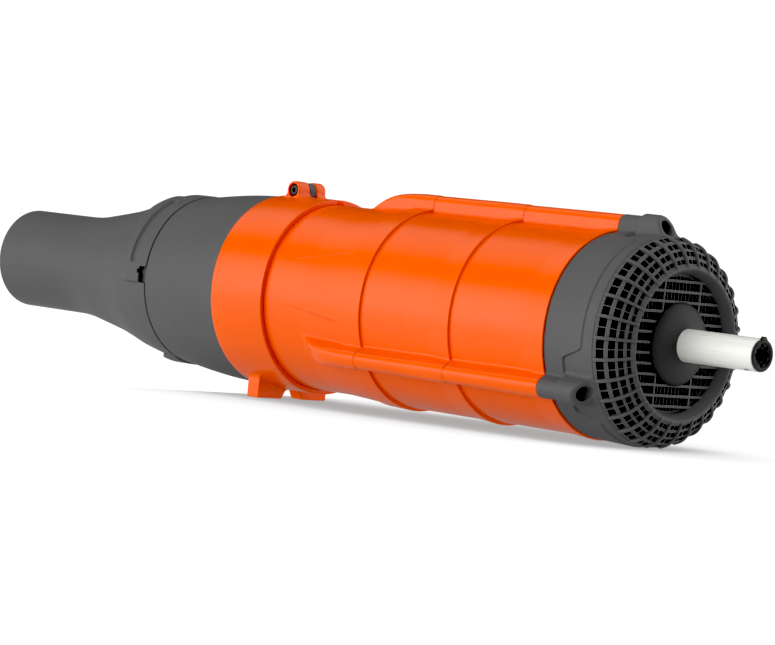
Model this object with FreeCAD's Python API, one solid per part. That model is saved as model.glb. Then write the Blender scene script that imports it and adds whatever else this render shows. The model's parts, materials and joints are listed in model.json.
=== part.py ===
import FreeCAD, Part
import os, math
from FreeCAD import Vector, Placement, Rotation

# Axial-fan blower attachment for a split-shaft power head.
# Millimetres. X runs along the fan axis: +X to the free end of the drive tube,
# air blows out at -X. +Z is up, through the top screw boss and the clamp lug.
# Stations below are measured from the joint between the intake cover and the
# fan housing; everything is shifted at export so that the origin is the centre
# of the drive tube's free end face.

os.makedirs("parts", exist_ok=True)

# ---------------------------------------------------------------- dimensions
TUBE_OD = 24.0          # drive tube, standard split-shaft size
TUBE_ID = 21.0
X_TUBE_END = 139.0      # free end face of the drive tube, on its end plug
X_TUBE_CUT = 137.4      # the tube itself ends behind the plug's flange
X_TUBE_IN = 4.2         # inner end, seated in the carrier
LOCK_HOLE_R = 3.2
LOCK_HOLE_X = 129.5
LOCK_HOLE_A = 256.0     # angle about X from +Y towards +Z

HOUSE_BORE = 71.6       # duct radius at the impeller
HOUSE_SEAT = 73.4       # counterbore at the intake end
X_SEAT = -26.0
HOUSE_FRONT_BORE = 69.6
X_STEP1 = -92.7         # steps of the moulded shell
X_STEP2 = -184.2
X_BAND_REAR = -290.8
X_BAND_FRONT = -347.6
X_SPIGOT = -312.0       # front end of the housing's spigot

RIB_ANGLES = (90.0, 210.0, 330.0)
RIB_PITCH_R = 81.2      # screw axes
RIB_R = 7.5
BOSS_R = 9.2            # screw bosses of the intake cover

BAND_R = 76.3
BAND_ID = 72.5
LUG_X = -328.4
LUG_Z = 80.4            # clamp screw axis height
FOOT_Z = -83.6

X_SEAM = -433.5         # outlet tube to nozzle
X_PIN = -446.5          # bayonet pins
PIN_A = 178.0
PIN_R = 3.6
PIN_TOP = 66.1
X_OUT = -645.6          # outlet rim
OUT_BORE = 37.2

GUARD_X0, GUARD_X1 = 58.5, 61.0
GUARD_R = 50.0
BAR_PITCH = 7.5
RIBS_N = 30             # meridian ribs of the domed grille

IMP_TIP = 70.6
IMP_HUB = 27.0
BLADES = 9
VANES = 7

AX = Vector(1, 0, 0)
O = Vector(0, 0, 0)


# ---------------------------------------------------------------- helpers
def rev(pts, a0=0.0, sweep=360.0):
    """closed polygon of (x, r) turned about X; angles run from +Y towards +Z"""
    w = Part.makePolygon([Vector(x, r, 0) for x, r in pts] + [Vector(pts[0][0], pts[0][1], 0)])
    f = Part.Face(w)
    if a0:
        f.rotate(O, AX, a0)
    return f.revolve(O, AX, sweep)


def ring(x0, x1, ro, ri):
    return rev([(x0, ri), (x1, ri), (x1, ro), (x0, ro)])


def cyl(x0, x1, r, y=0.0, z=0.0):
    return Part.makeCylinder(r, x1 - x0, Vector(x0, y, z), AX)


def sector(x0, x1, r0, r1, a0, a1):
    return rev([(x0, r0), (x1, r0), (x1, r1), (x0, r1)], a0, a1 - a0)


def box(x0, x1, y0, y1, z0, z1):
    return Part.makeBox(x1 - x0, y1 - y0, z1 - z0, Vector(x0, y0, z0))


def turned(shape, a):
    s = shape.copy()
    s.rotate(O, AX, a)
    return s


def polar(r, a):
    return r * math.cos(math.radians(a)), r * math.sin(math.radians(a))


def prism_x(pts_yz, x0, x1):
    w = Part.makePolygon([Vector(x0, y, z) for y, z in pts_yz] + [Vector(x0, pts_yz[0][0], pts_yz[0][1])])
    return Part.Face(w).extrude(Vector(x1 - x0, 0, 0))


def prism_y(pts_xz, y0, y1):
    w = Part.makePolygon([Vector(x, y0, z) for x, z in pts_xz] + [Vector(pts_xz[0][0], y0, pts_xz[0][1])])
    return Part.Face(w).extrude(Vector(0, y1 - y0, 0))


def hexa(x0, x1, af, y=0.0, z=0.0):
    r = af / math.sqrt(3.0)
    pts = [(y + r * math.cos(math.radians(60 * k)), z + r * math.sin(math.radians(60 * k))) for k in range(6)]
    return prism_x(pts, x0, x1)


nodes = {}


def keep(name, shape):
    if isinstance(shape, (list, tuple)):
        shape = Part.makeCompound(list(shape))
    s = shape.copy()
    s.translate(Vector(-X_TUBE_END, 0, 0))
    s.exportStep("parts/%s.step" % name)
    nodes[name] = s
    bb = s.BoundBox
    print("%-22s solids %2d valid %s vol %10.1f  x %.1f..%.1f y %.1f..%.1f z %.1f..%.1f" % (
        name, len(s.Solids), s.isValid(), s.Volume, bb.XMin, bb.XMax, bb.YMin, bb.YMax, bb.ZMin, bb.ZMax))


# ---------------------------------------------------------------- fan housing
outer = [(X_SPIGOT, 72.4), (X_BAND_REAR, 72.4), (-250.0, 72.4), (-203.0, 75.2), (-185.0, 77.1),
         (X_STEP2, 77.0), (X_STEP2 + 0.3, 74.9), (-113.0, 75.2), (-93.6, 76.9), (X_STEP1, 76.8),
         (X_STEP1 + 0.3, 74.9), (-22.0, 75.2), (-0.6, 76.8), (0.0, 76.5)]
inner = [(0.0, HOUSE_SEAT), (X_SEAT, HOUSE_SEAT), (X_SEAT, HOUSE_BORE), (-150.0, HOUSE_BORE),
         (-190.0, HOUSE_FRONT_BORE), (X_SPIGOT, HOUSE_FRONT_BORE)]
shell = rev(outer + inner)
ramp = rev([(-250.5, 72.0), (-248.0, 73.3), (-244.0, 76.5), (-240.0, 79.1), (-236.0, 81.4), (-232.0, 83.1),
            (-227.5, 84.7), (-223.0, 85.5), (-219.0, 86.9), (-211.0, 87.6), (-200.0, 88.2), (0.0, 89.0),
            (0.0, 71.9), (-26.0, 71.9), (-150.0, 72.0), (-190.0, 70.2), (-250.5, 70.2)])
rib_raw = cyl(-251.0, 0.0, RIB_R, 0.0, RIB_PITCH_R)
rib_raw = rib_raw.fuse(prism_x([(-RIB_R, RIB_PITCH_R), (RIB_R, RIB_PITCH_R), (RIB_R + 1.2, 70.5), (-RIB_R - 1.2, 70.5)], -251.0, 0.0))
rib_raw = rib_raw.common(ramp)
rib_raw = rib_raw.cut(cyl(X_SEAT, 0.5, HOUSE_SEAT))
ribs = [turned(rib_raw, a - 90.0) for a in RIB_ANGLES]
# low tongue with a plain face on the end flare, near side
tongue = rev([(-276.0, 72.0), (-276.0, 72.5), (-250.0, 72.85), (-205.8, 75.9), (-205.0, 75.0), (-205.0, 72.0)], 152.0, 37.5)
housing = shell.fuse(ribs + [tongue])
# insert seats and the cored-out screw channels behind them
cuts = []
for a in RIB_ANGLES:
    y, z = polar(RIB_PITCH_R, a)
    cuts.append(cyl(-16.0, 1.0, 3.6, y, z))
    cuts.append(cyl(-200.0, -15.0, 3.0, y, z))
housing = housing.cut(cuts).removeSplitter()
keep("fan_housing", housing)

# ---------------------------------------------------------------- intake cover
dome = [(0.0, 75.3), (3.0, 75.9), (37.0, 77.4), (46.0, 76.2), (49.4, 75.1), (54.0, 73.5), (57.8, 71.3),
        (62.4, 67.0), (65.4, 61.8), (67.4, 58.0), (68.6, 55.6), (68.6, 54.4), (67.8, 53.6), (61.2, 50.2),
        (GUARD_X0, 50.0)]
back = [(57.6, 50.0), (57.6, 52.2), (60.2, 52.5), (64.6, 55.6), (65.0, 57.2), (63.2, 60.7), (60.5, 65.4),
        (56.4, 69.2), (53.0, 71.2), (48.6, 72.7), (45.5, 73.6), (36.8, 74.9), (6.0, 73.3), (2.0, 71.2),
        (-9.0, 71.2), (-9.0, 73.2), (0.0, 73.2)]
cover = rev(dome + back)
adds = []
for a in RIB_ANGLES:
    y, z = polar(RIB_PITCH_R, a)
    lug = cyl(0.0, 19.0, RIB_R, 0.0, RIB_PITCH_R).fuse(box(0.0, 19.0, -RIB_R, RIB_R, 74.0, RIB_PITCH_R))
    boss = cyl(18.6, 46.0, BOSS_R, 0.0, RIB_PITCH_R).fuse(box(18.6, 46.0, -BOSS_R, BOSS_R, 74.6, RIB_PITCH_R))
    # the boss ends in a slanted mouth
    slant = Part.makePolygon([Vector(34.6, -20, 90.4 + 3.0), Vector(44.0, -20, 75.1), Vector(70.0, -20, 70.0), Vector(70.0, -20, 100.0), Vector(32.7, -20, 100.0), Vector(34.6, -20, 93.4)])
    boss = boss.cut(Part.Face(slant).extrude(Vector(0, 40, 0)))
    pad = lug.fuse(boss).cut(cyl(-1.0, 48.0, 74.4))
    adds.append(turned(pad, a - 90.0))
# meridian ribs stand a little proud of the dome
rib_prof = [(46.0, 76.2), (46.6, 77.3), (50.0, 76.2), (54.7, 74.5), (58.7, 72.2), (63.4, 67.7), (66.5, 62.3),
            (68.4, 58.4), (68.6, 56.0), (68.0, 54.6), (64.0, 58.0), (61.0, 63.5), (57.0, 68.5), (50.0, 73.0)]
for k in range(RIBS_N):
    adds.append(rev(rib_prof, 12.0 * k - 1.1, 2.2))
cover = cover.fuse(adds)
# pierced rows: two windows between each pair of ribs, four rows deep
rows = [((49.2, 75.2), (54.4, 73.3)), ((57.4, 71.6), (60.7, 68.6)), ((62.4, 67.0), (64.4, 63.6)),
        ((65.6, 61.3), (67.0, 58.6))]
tools = []
for (xa, ra), (xb, rb) in rows:
    dx, dr = xb - xa, rb - ra
    n = math.hypot(dx, dr)
    nx, nr = -dr / n, dx / n
    quad = [(xa + 3 * nx, ra + 3 * nr), (xb + 3 * nx, rb + 3 * nr), (xb - 5 * nx, rb - 5 * nr), (xa - 5 * nx, ra - 5 * nr)]
    for k in range(RIBS_N):
        c = 12.0 * k + 6.0
        tools.append(rev(quad, c - 4.75, 4.42))
        tools.append(rev(quad, c + 0.33, 4.42))
cover = cover.cut(tools)
# screw wells, open towards +X
wells = []
for a in RIB_ANGLES:
    y, z = polar(RIB_PITCH_R, a)
    wells.append(cyl(12.0, 60.0, 5.8, y, z))
    wells.append(cyl(-1.0, 13.0, 2.8, y, z))
wells.append(ring(-6.2, -4.4, 73.6, 71.9))
cover = cover.cut(wells)
# finger guard in the recess: level bars and two uprights on a central ring
bars = []
lim = cyl(GUARD_X0, GUARD_X1, 50.9)
for k in range(-6, 7):
    z = BAR_PITCH * k
    bars.append(box(GUARD_X0, GUARD_X1, -60, 60, z - 1.1, z + 1.1).common(lim))
for y in (-20.0, 20.0):
    bars.append(box(GUARD_X0, GUARD_X1 - 0.3, y - 1.1, y + 1.1, -60, 60).common(lim))
bars.append(ring(GUARD_X0, GUARD_X1, 29.0, 24.5))
guard = bars[0].fuse(bars[1:]).cut(cyl(50.0, 70.0, 24.5))
cover = cover.fuse(guard).removeSplitter()
keep("intake_cover", cover)

# ---------------------------------------------------------------- inner screen
scr = [ring(53.5, 57.5, 51.7, 48.4), ring(53.5, 57.5, 27.5, 24.6)]
lim = cyl(54.0, 57.0, 50.0)
for k in range(-12, 13):
    y = 4.0 * k
    scr.append(box(54.0, 57.0, y - 0.45, y + 0.45, -60, 60).common(lim))
screen = scr[0].fuse(scr[1:]).cut(cyl(50.0, 60.0, 24.6))
keep("inner_screen", screen.removeSplitter())

# ---------------------------------------------------------------- hub boot
boot = rev([(61.1, 30.2), (62.6, 29.6), (65.0, 27.0), (67.2, 22.5), (68.8, 17.6), (69.8, 14.2), (70.2, 12.9),
            (70.2, 12.05), (66.6, 12.05), (66.2, 16.0), (64.6, 21.5), (62.6, 25.6), (61.1, 27.4)])
keep("hub_boot", boot)

# ---------------------------------------------------------------- drive tube
tube = ring(X_TUBE_IN, X_TUBE_CUT, TUBE_OD / 2, TUBE_ID / 2)
tube = tube.cut(box(X_TUBE_END - 2.3, X_TUBE_END + 1, -3.0, 3.0, 9.0, 14.0))
hole = Part.makeCylinder(LOCK_HOLE_R, 6.0, Vector(LOCK_HOLE_X, 8.0, 0.0), Vector(0, 1, 0))
tube = tube.cut(turned(hole, LOCK_HOLE_A))
keep("drive_tube", tube)

# end plug: flange over the tube's end, key in its notch, star-shaped mouth in its face
flange = cyl(X_TUBE_CUT + 0.05, X_TUBE_END, 11.75)
rim_edges = [e for e in flange.Edges if abs(e.BoundBox.XMin - X_TUBE_END) < 1e-6 and abs(e.BoundBox.XMax - X_TUBE_END) < 1e-6]
flange = flange.makeFillet(0.9, rim_edges)
plug = flange.fuse(cyl(X_TUBE_END - 5.4, X_TUBE_CUT + 0.05, 10.44))
plug = plug.fuse(box(X_TUBE_END - 2.2, X_TUBE_END, -2.8, 2.8, 9.5, 13.4))
plug = plug.cut(cyl(X_TUBE_END - 12.0, X_TUBE_END - 2.4, 8.5))
star = []
for k in range(16):
    r = 8.1 if k % 2 == 0 else 6.2
    star.append(polar(r, 22.5 * k + 5.0))
plug = plug.cut(prism_x(star, X_TUBE_END - 4.0, X_TUBE_END + 1.0))
keep("tube_end_plug", plug.removeSplitter())

# ---------------------------------------------------------------- shaft line
SQ = 6.0
shaft = cyl(22.5, 122.0, 4.0).fuse(box(7.0, 23.0, -SQ / 2, SQ / 2, -SQ / 2, SQ / 2)).removeSplitter()
keep("drive_shaft", shaft)

sock = cyl(108.0, 136.0, 7.8).cut(cyl(107.0, 122.6, 4.0))
mouth = []
for k in range(16):
    r = 5.4 if k % 2 == 0 else 4.2
    mouth.append(polar(r, 22.5 * k))
sock = sock.cut(prism_x(mouth, 122.5, 137.0))
keep("coupling_socket", sock)

bushes = [ring(26.0, 38.0, 10.47, 4.06), ring(66.0, 78.0, 10.47, 4.06), ring(110.0, 122.0, 10.47, 7.86)]
keep("shaft_bushes", bushes)

fan_shaft = cyl(-76.0, -62.0, 4.0).fuse([cyl(-62.0, 3.1, 4.99), cyl(3.1, 22.3, 8.0)]).removeSplitter()
fan_shaft = fan_shaft.cut(box(6.5, 23.0, -SQ / 2 - 0.06, SQ / 2 + 0.06, -SQ / 2 - 0.06, SQ / 2 + 0.06))
fan_shaft = fan_shaft.cut(box(-56.0, -36.0, -1.5, 1.5, 3.2, 6.0))
keep("fan_shaft", fan_shaft)
keep("impeller_key", box(-55.9, -36.1, -1.48, 1.48, 3.25, 6.2))

# ---------------------------------------------------------------- carrier
carrier = rev([(-19.0, 13.03), (3.1, 13.03), (3.1, 10.3), (X_TUBE_IN, 10.3), (X_TUBE_IN, 12.02), (44.0, 12.02),
               (44.0, 16.2), (21.0, 17.5), (8.0, 20.0), (-19.0, 20.0)])
rim = ring(-25.8, -9.2, 73.2, 71.0)
struts = []
for k in range(6):
    w = Part.makePolygon([Vector(-19, -1.7, 18.5), Vector(16, -1.7, 18.5), Vector(-3, -1.7, 40), Vector(-9.4, -1.7, 71.8),
                          Vector(-23.5, -1.7, 71.8), Vector(-19, -1.7, 40), Vector(-19, -1.7, 18.5)])
    struts.append(turned(Part.Face(w).extrude(Vector(0, 3.4, 0)), 60.0 * k))
carrier = carrier.fuse([rim] + struts)
carrier = carrier.cut([ring(-18.5, -17.1, 13.9, 12.0), Part.makeCylinder(2.1, 12.0, Vector(34, 0, 11.0), Vector(0, 0, 1))])
keep("hub_carrier", carrier.removeSplitter())
setscrew = Part.makeCylinder(2.05, 4.6, Vector(34, 0, 12.02), Vector(0, 0, 1))
hexw = Part.makePolygon([Vector(34 + 1.15 * math.cos(math.radians(60 * k)), 1.15 * math.sin(math.radians(60 * k)), 15.0) for k in range(7)])
setscrew = setscrew.cut(Part.Face(hexw).extrude(Vector(0, 0, 3)))
keep("tube_set_screw", setscrew)

brgs = ((-17.0, -9.0), (-5.0, 3.0))
keep("bearing_outer_rings", [ring(a, b, 13.0, 10.8).cut(Part.makeTorus(9.0, 1.85, Vector((a + b) / 2, 0, 0), AX)) for a, b in brgs])
keep("bearing_inner_rings", [ring(a, b, 7.2, 5.0).cut(Part.makeTorus(9.0, 1.85, Vector((a + b) / 2, 0, 0), AX)) for a, b in brgs])
balls = []
for a, b in brgs:
    for k in range(9):
        y, z = polar(9.0, 40.0 * k)
        balls.append(Part.makeSphere(1.8, Vector((a + b) / 2, y, z)))
keep("bearing_balls", balls)
keep("bearing_spacers", [ring(-9.0, -5.0, 6.6, 5.02), ring(-23.4, -17.0, 6.6, 5.02)])
keep("outer_ring_spacer", ring(-9.0, -5.0, 12.95, 11.3))
circ = rev([(-18.4, 11.2), (-17.2, 11.2), (-17.2, 13.8), (-18.4, 13.8)], 100.0, 340.0)
keep("bearing_circlip", circ)

# ---------------------------------------------------------------- impeller
hub = rev([(-24.0, 5.0), (-24.0, 12.0), (-26.5, 22.0), (-31.0, IMP_HUB), (-60.0, IMP_HUB), (-60.0, 24.4),
           (-34.0, 24.4), (-30.0, 20.0), (-30.0, 11.0), (-60.0, 11.0), (-60.0, 5.0)])


def blade_section(z, chord, stagger, thick, xc):
    """flat-sided section in the plane z, turned by the stagger angle from the axis"""
    s, c = math.sin(math.radians(stagger)), math.cos(math.radians(stagger))
    pts = []
    for u, v in ((-0.5, -0.15), (-0.25, -0.5), (0.2, -0.5), (0.5, -0.1), (0.5, 0.1), (0.2, 0.5), (-0.25, 0.5), (-0.5, 0.15)):
        camber = 0.07 * chord * (1 - (2 * u) ** 2)
        a, b = u * chord, v * thick + camber
        pts.append(Vector(xc + a * c - b * s, a * s + b * c, z))
    return Part.makePolygon(pts + [pts[0]])


secs = [blade_section(24.9, 29.0, 36.0, 3.2, -44.0), blade_section(47.0, 35.0, 52.0, 2.8, -44.0),
        blade_section(72.0, 38.0, 62.0, 2.2, -44.0)]
blade = Part.makeLoft(secs, True, True).common(cyl(-64.0, -25.0, IMP_TIP))
blades = [turned(blade, 360.0 / BLADES * k) for k in range(BLADES)]
imp = hub.fuse(blades).cut([cyl(-70.0, -20.0, 5.0), box(-62.0, -36.0, -1.5, 1.5, 3.0, 6.3), rev([(-61.0, 11.0), (-34.0, 11.0), (-34.0, 24.4), (-61.0, 24.4)])])
imp = imp.fuse([turned(box(-58.0, -30.5, -1.0, 1.0, 10.5, 24.8), 60.0 * k + 30.0) for k in range(6)])
keep("impeller", imp.removeSplitter())
keep("fan_washer", ring(-61.6, -60.0, 9.5, 5.05))
nut = hexa(-68.2, -61.6, 13.0).cut([cyl(-70.0, -62.0, 4.02), cyl(-62.0, -61.0, 5.05)])
keep("fan_nut", nut)

# ---------------------------------------------------------------- straightener
st_rim = ring(-128.0, -78.0, 71.45, 69.6)
st_hub = rev([(-128.0, 24.6), (-128.0, 27.0), (-78.0, 27.0), (-78.0, 11.5), (-80.4, 11.5), (-80.4, 24.6)])
vsec = [blade_section(25.6, 44.0, -14.0, 3.0, -103.0), blade_section(47.0, 44.0, -14.0, 2.6, -103.0),
        blade_section(72.5, 44.0, -14.0, 2.4, -103.0)]
vane = Part.makeLoft(vsec, True, True).common(cyl(-127.5, -78.5, 71.0)).cut(cyl(-128.0, -78.0, 25.8))
vanes = [turned(vane, 360.0 / VANES * k) for k in range(VANES)]
keep("flow_straightener", st_rim.fuse([st_hub] + vanes).removeSplitter())
keep("tail_cone", rev([(-128.1, 27.0), (-140.0, 26.3), (-152.0, 24.2), (-164.0, 20.3), (-175.0, 14.6), (-183.0, 8.0),
                       (-187.0, 0.0), (-184.4, 0.0), (-180.8, 7.2), (-173.0, 13.0), (-162.6, 18.2), (-151.0, 21.6),
                       (-139.5, 22.8), (-120.0, 22.8), (-120.0, 24.5), (-128.1, 24.5)]))

# ---------------------------------------------------------------- cover screws, inserts, seal
scr, ins = [], []
for a in RIB_ANGLES:
    y, z = polar(RIB_PITCH_R, a)
    s = cyl(12.05, 15.4, 4.6, y, z).fuse(cyl(-14.0, 12.1, 2.45, y, z)).removeSplitter()
    s = s.cut(hexa(13.2, 16.0, 3.4, y, z))
    scr.append(s)
    ins.append(cyl(-15.6, -0.4, 3.58, y, z).cut(cyl(-16.0, 0.0, 2.5, y, z)))
keep("cover_screws", scr)
keep("threaded_inserts", ins)
keep("cover_seal", ring(-6.1, -4.5, 73.36, 71.95))

# ---------------------------------------------------------------- clamp band
band = rev([(X_BAND_FRONT, BAND_ID), (X_BAND_REAR, BAND_ID), (X_BAND_REAR, 75.4), (X_BAND_REAR - 1.2, 76.2),
            (-320.0, BAND_R), (-344.0, 75.9), (X_BAND_FRONT + 0.6, 75.5), (X_BAND_FRONT, 75.0)])
ear_prof = [(LUG_X - 11.0, 73.6), (LUG_X - 8.2, 75.4), (LUG_X - 6.7, 79.0)]
for k in range(0, 13):
    ear_prof.append((LUG_X - 6.7 * math.cos(math.radians(15.0 * k)), LUG_Z + 0.3 + 6.9 * math.sin(math.radians(15.0 * k))))
ear_prof += [(LUG_X + 6.7, 79.0), (LUG_X + 8.2, 75.4), (LUG_X + 11.0, 73.6)]
near_ear = prism_y(ear_prof, -16.6, -4.3)
far_ear = prism_y(ear_prof, 2.9, 13.0)
feet = []
for s in (-1, 1):
    feet.append(prism_x([(s * 37.6, -64.0), (s * 37.6, -78.5), (s * 36.6, -82.4), (s * 35.4, FOOT_Z), (s * 12.8, FOOT_Z), (s * 11.2, -82.4),
                         (s * 6.5, -75.0), (s * 6.5, -70.0)], -334.5, -322.0))
band = band.fuse([near_ear, far_ear] + feet)
band = band.cut([cyl(-360.0, -280.0, BAND_ID), box(-350.0, -289.0, -4.3, 2.9, 60.0, 90.0),
                 Part.makeCylinder(5.3, 6.0, Vector(LUG_X, -18.0, LUG_Z), Vector(0, 1, 0)),
                 Part.makeCylinder(2.7, 40.0, Vector(LUG_X, -20.0, LUG_Z), Vector(0, 1, 0))])
nut_pocket = []
for k in range(6):
    r = 8.2 / math.sqrt(3.0)
    nut_pocket.append((LUG_X + r * math.cos(math.radians(60 * k)), LUG_Z + r * math.sin(math.radians(60 * k))))
band = band.cut(prism_y(nut_pocket, 9.0, 14.0))
keep("clamp_band", band.removeSplitter())
cs = Part.makeCylinder(4.3, 3.6, Vector(LUG_X, -15.8, LUG_Z), Vector(0, 1, 0)).fuse(
    Part.makeCylinder(2.45, 25.0, Vector(LUG_X, -12.3, LUG_Z), Vector(0, 1, 0))).removeSplitter()
tx = []
for k in range(12):
    r = 2.1 if k % 2 == 0 else 1.5
    tx.append((LUG_X + r * math.cos(math.radians(30 * k)), LUG_Z + r * math.sin(math.radians(30 * k))))
cs = cs.cut(prism_y(tx, -16.0, -13.6))
keep("clamp_screw", cs)
nutp = [(LUG_X + 8.0 / math.sqrt(3.0) * math.cos(math.radians(60 * k)), LUG_Z + 8.0 / math.sqrt(3.0) * math.sin(math.radians(60 * k))) for k in range(6)]
keep("clamp_nut", prism_y(nutp, 9.05, 13.0).cut(Part.makeCylinder(2.5, 8.0, Vector(LUG_X, 7.0, LUG_Z), Vector(0, 1, 0))))

# ---------------------------------------------------------------- outlet tube
ot = rev([(-314.5, 72.4), (X_BAND_FRONT - 0.1, 72.4), (X_BAND_FRONT - 0.1, 74.4), (X_BAND_FRONT - 0.8, 74.9),
          (-377.0, 73.35), (-400.0, 71.35), (-423.0, 68.75), (-432.1, 67.6), (-432.9, 67.0), (-432.9, 63.9), (-457.0, 60.5),
          (-457.0, 57.9), (-432.0, 61.4), (-427.0, 65.6), (-400.0, 68.6), (-377.0, 69.6), (-314.5, 69.7)])
keyb = box(LUG_X - 6.5, LUG_X + 6.5, -4.1, 2.7, 71.0, 80.4).fuse(
    Part.makeCylinder(6.5, 6.8, Vector(LUG_X, -4.1, 80.4), Vector(0, 1, 0)))
keyb = keyb.cut(Part.makeCylinder(2.7, 12.0, Vector(LUG_X, -6.0, LUG_Z), Vector(0, 1, 0)))
pins = []
for a in (PIN_A, PIN_A + 180.0):
    p = Part.makeCylinder(PIN_R, PIN_TOP - 59.5, Vector(X_PIN, 59.5, 0), Vector(0, 1, 0))
    pins.append(turned(p, a))
ot = ot.fuse([keyb] + pins)
keep("outlet_tube", ot.removeSplitter())
keep("joint_gasket", ring(-314.4, -312.1, 72.3, 69.9))

# ---------------------------------------------------------------- nozzle
nz = rev([(X_SEAM - 0.6, 64.3), (X_SEAM - 0.6, 66.8), (X_SEAM - 1.3, 67.4), (-440.0, 66.6), (-446.0, 65.75), (-452.6, 64.75), (-460.0, 63.3), (-475.0, 60.1),
          (-490.0, 55.75), (-506.0, 51.3), (-522.0, 47.95), (-539.0, 44.65), (-554.0, 41.9), (-565.0, 40.7), (-575.0, 40.3), (-585.0, 40.25),
          (-640.0, 40.2), (-643.8, 40.0), (X_OUT + 0.4, 39.2), (X_OUT, 38.5), (X_OUT, 37.7), (X_OUT + 0.6, OUT_BORE),
          (-585.0, OUT_BORE), (-575.0, 37.3), (-565.0, 37.9), (-554.0, 39.1), (-539.0, 41.8), (-522.0, 45.1),
          (-506.0, 48.5), (-490.0, 52.9), (-476.0, 56.6), (-461.5, 57.6), (-461.5, 60.2), (-457.5, 60.8)])
raised = []
for a in (0.0, 180.0):
    # entry block, then the pad over the track
    raised.append(rev([(X_SEAM - 0.8, 65.5), (X_SEAM - 0.8, 68.2), (-450.0, 68.1), (-451.5, 67.4), (-451.5, 62.5)], 74.0 + a, 30.0))
    raised.append(rev([(X_SEAM - 0.8, 65.5), (X_SEAM - 0.8, 67.5), (-452.0, 67.2), (-460.0, 66.9), (-466.0, 65.8), (-471.0, 63.8), (-475.5, 60.6), (-476.0, 58.6), (-461.0, 61.5)], 102.0 + a, 81.8))
nz = nz.fuse(raised)
tracks = []
for a in (0.0, 180.0):
    tracks.append(sector(X_PIN - PIN_R - 0.35, X_PIN + PIN_R + 0.35, 58.0, 66.4, 83.5 + a, 182.0 + a))
    tracks.append(sector(X_PIN - PIN_R - 0.35, X_SEAM + 1.0, 58.0, 66.4, 83.5 + a, 92.5 + a))
    tracks.append(sector(-441.0, X_SEAM + 1.0, 60.0, 70.0, 174.0 + a, 184.0 + a))
    # blind groove along the pad
    tracks.append(rev([(-455.4, 68.5), (-455.0, 66.4), (-454.4, 65.9), (-453.6, 65.9), (-453.0, 66.4), (-452.6, 68.5)], 107.0 + a, 65.5))
nz = nz.cut(tracks)
keep("nozzle", nz.removeSplitter())
keep("nozzle_seal", ring(-460.9, -458.2, 60.0, 57.9))

print("nodes", len(nodes))
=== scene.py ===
import bpy, bmesh, math, json
import numpy as np
from mathutils import Matrix, Vector


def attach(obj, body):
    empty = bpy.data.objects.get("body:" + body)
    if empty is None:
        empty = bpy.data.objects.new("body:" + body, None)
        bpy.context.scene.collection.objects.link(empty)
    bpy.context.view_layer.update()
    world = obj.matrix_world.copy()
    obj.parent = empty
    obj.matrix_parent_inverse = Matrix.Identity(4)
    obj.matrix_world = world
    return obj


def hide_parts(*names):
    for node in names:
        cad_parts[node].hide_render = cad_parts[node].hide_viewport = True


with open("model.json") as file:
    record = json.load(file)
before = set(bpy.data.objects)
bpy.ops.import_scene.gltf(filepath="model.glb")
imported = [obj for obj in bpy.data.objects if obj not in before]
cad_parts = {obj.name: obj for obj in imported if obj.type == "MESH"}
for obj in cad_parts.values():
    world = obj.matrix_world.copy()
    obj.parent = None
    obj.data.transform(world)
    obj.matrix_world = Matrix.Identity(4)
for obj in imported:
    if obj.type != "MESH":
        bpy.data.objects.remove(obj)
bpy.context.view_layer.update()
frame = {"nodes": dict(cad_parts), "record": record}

NODES = frame["nodes"]

# Lengths below are millimetres. Stations x are measured from the joint between
# the intake cover and the fan housing; the tube's free end is at x = 139.
# Angles run about +X from +Y towards +Z: the near side of the photo is 180.
X_END = 139.0
RIBS = (90.0, 210.0, 330.0)


# ------------------------------------------------------------------ numbers
def smin(a, b, k):
    h = np.maximum(k - np.abs(a - b), 0.0) / k
    return np.minimum(a, b) - h * h * k * 0.25


def smax(a, b, k):
    h = np.maximum(k - np.abs(a - b), 0.0) / k
    return np.maximum(a, b) + h * h * k * 0.25


def ramp(x, a, b):
    t = np.clip((x - a) / (b - a), 0.0, 1.0)
    return t * t * (3 - 2 * t)


def table(pts):
    xs, rs = np.array([p[0] for p in pts], float), np.array([p[1] for p in pts], float)
    o = np.argsort(xs)
    xs, rs = xs[o], rs[o]
    return lambda x: np.interp(x, xs, rs)


def smooth_table(pts):
    """monotone cubic through the points"""
    p = sorted(pts)
    xs, ys = np.array([a for a, _ in p], float), np.array([b for _, b in p], float)
    h = np.diff(xs)
    d = np.diff(ys) / h
    m = np.zeros_like(ys)
    m[0], m[-1] = d[0], d[-1]
    for i in range(1, len(ys) - 1):
        if d[i - 1] * d[i] > 0:
            w1, w2 = 2 * h[i] + h[i - 1], h[i] + 2 * h[i - 1]
            m[i] = (w1 + w2) / (w1 / d[i - 1] + w2 / d[i])

    def f(x):
        x = np.clip(x, xs[0], xs[-1])
        i = np.clip(np.searchsorted(xs, x, side="right") - 1, 0, len(xs) - 2)
        t = (x - xs[i]) / h[i]
        return ((2 * t ** 3 - 3 * t ** 2 + 1) * ys[i] + (t ** 3 - 2 * t ** 2 + t) * h[i] * m[i]
                + (-2 * t ** 3 + 3 * t ** 2) * ys[i + 1] + (t ** 3 - t ** 2) * h[i] * m[i + 1])
    return f


def span(*parts):
    """span((a, b, step), ...) -> rising samples that keep every a and b"""
    out = []
    for a, b, s in parts:
        n = max(1, int(math.ceil(abs(b - a) / s - 1e-9)))
        out.append(np.linspace(a, b, n + 1))
    v = np.unique(np.round(np.concatenate(out), 5))
    return v


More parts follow.
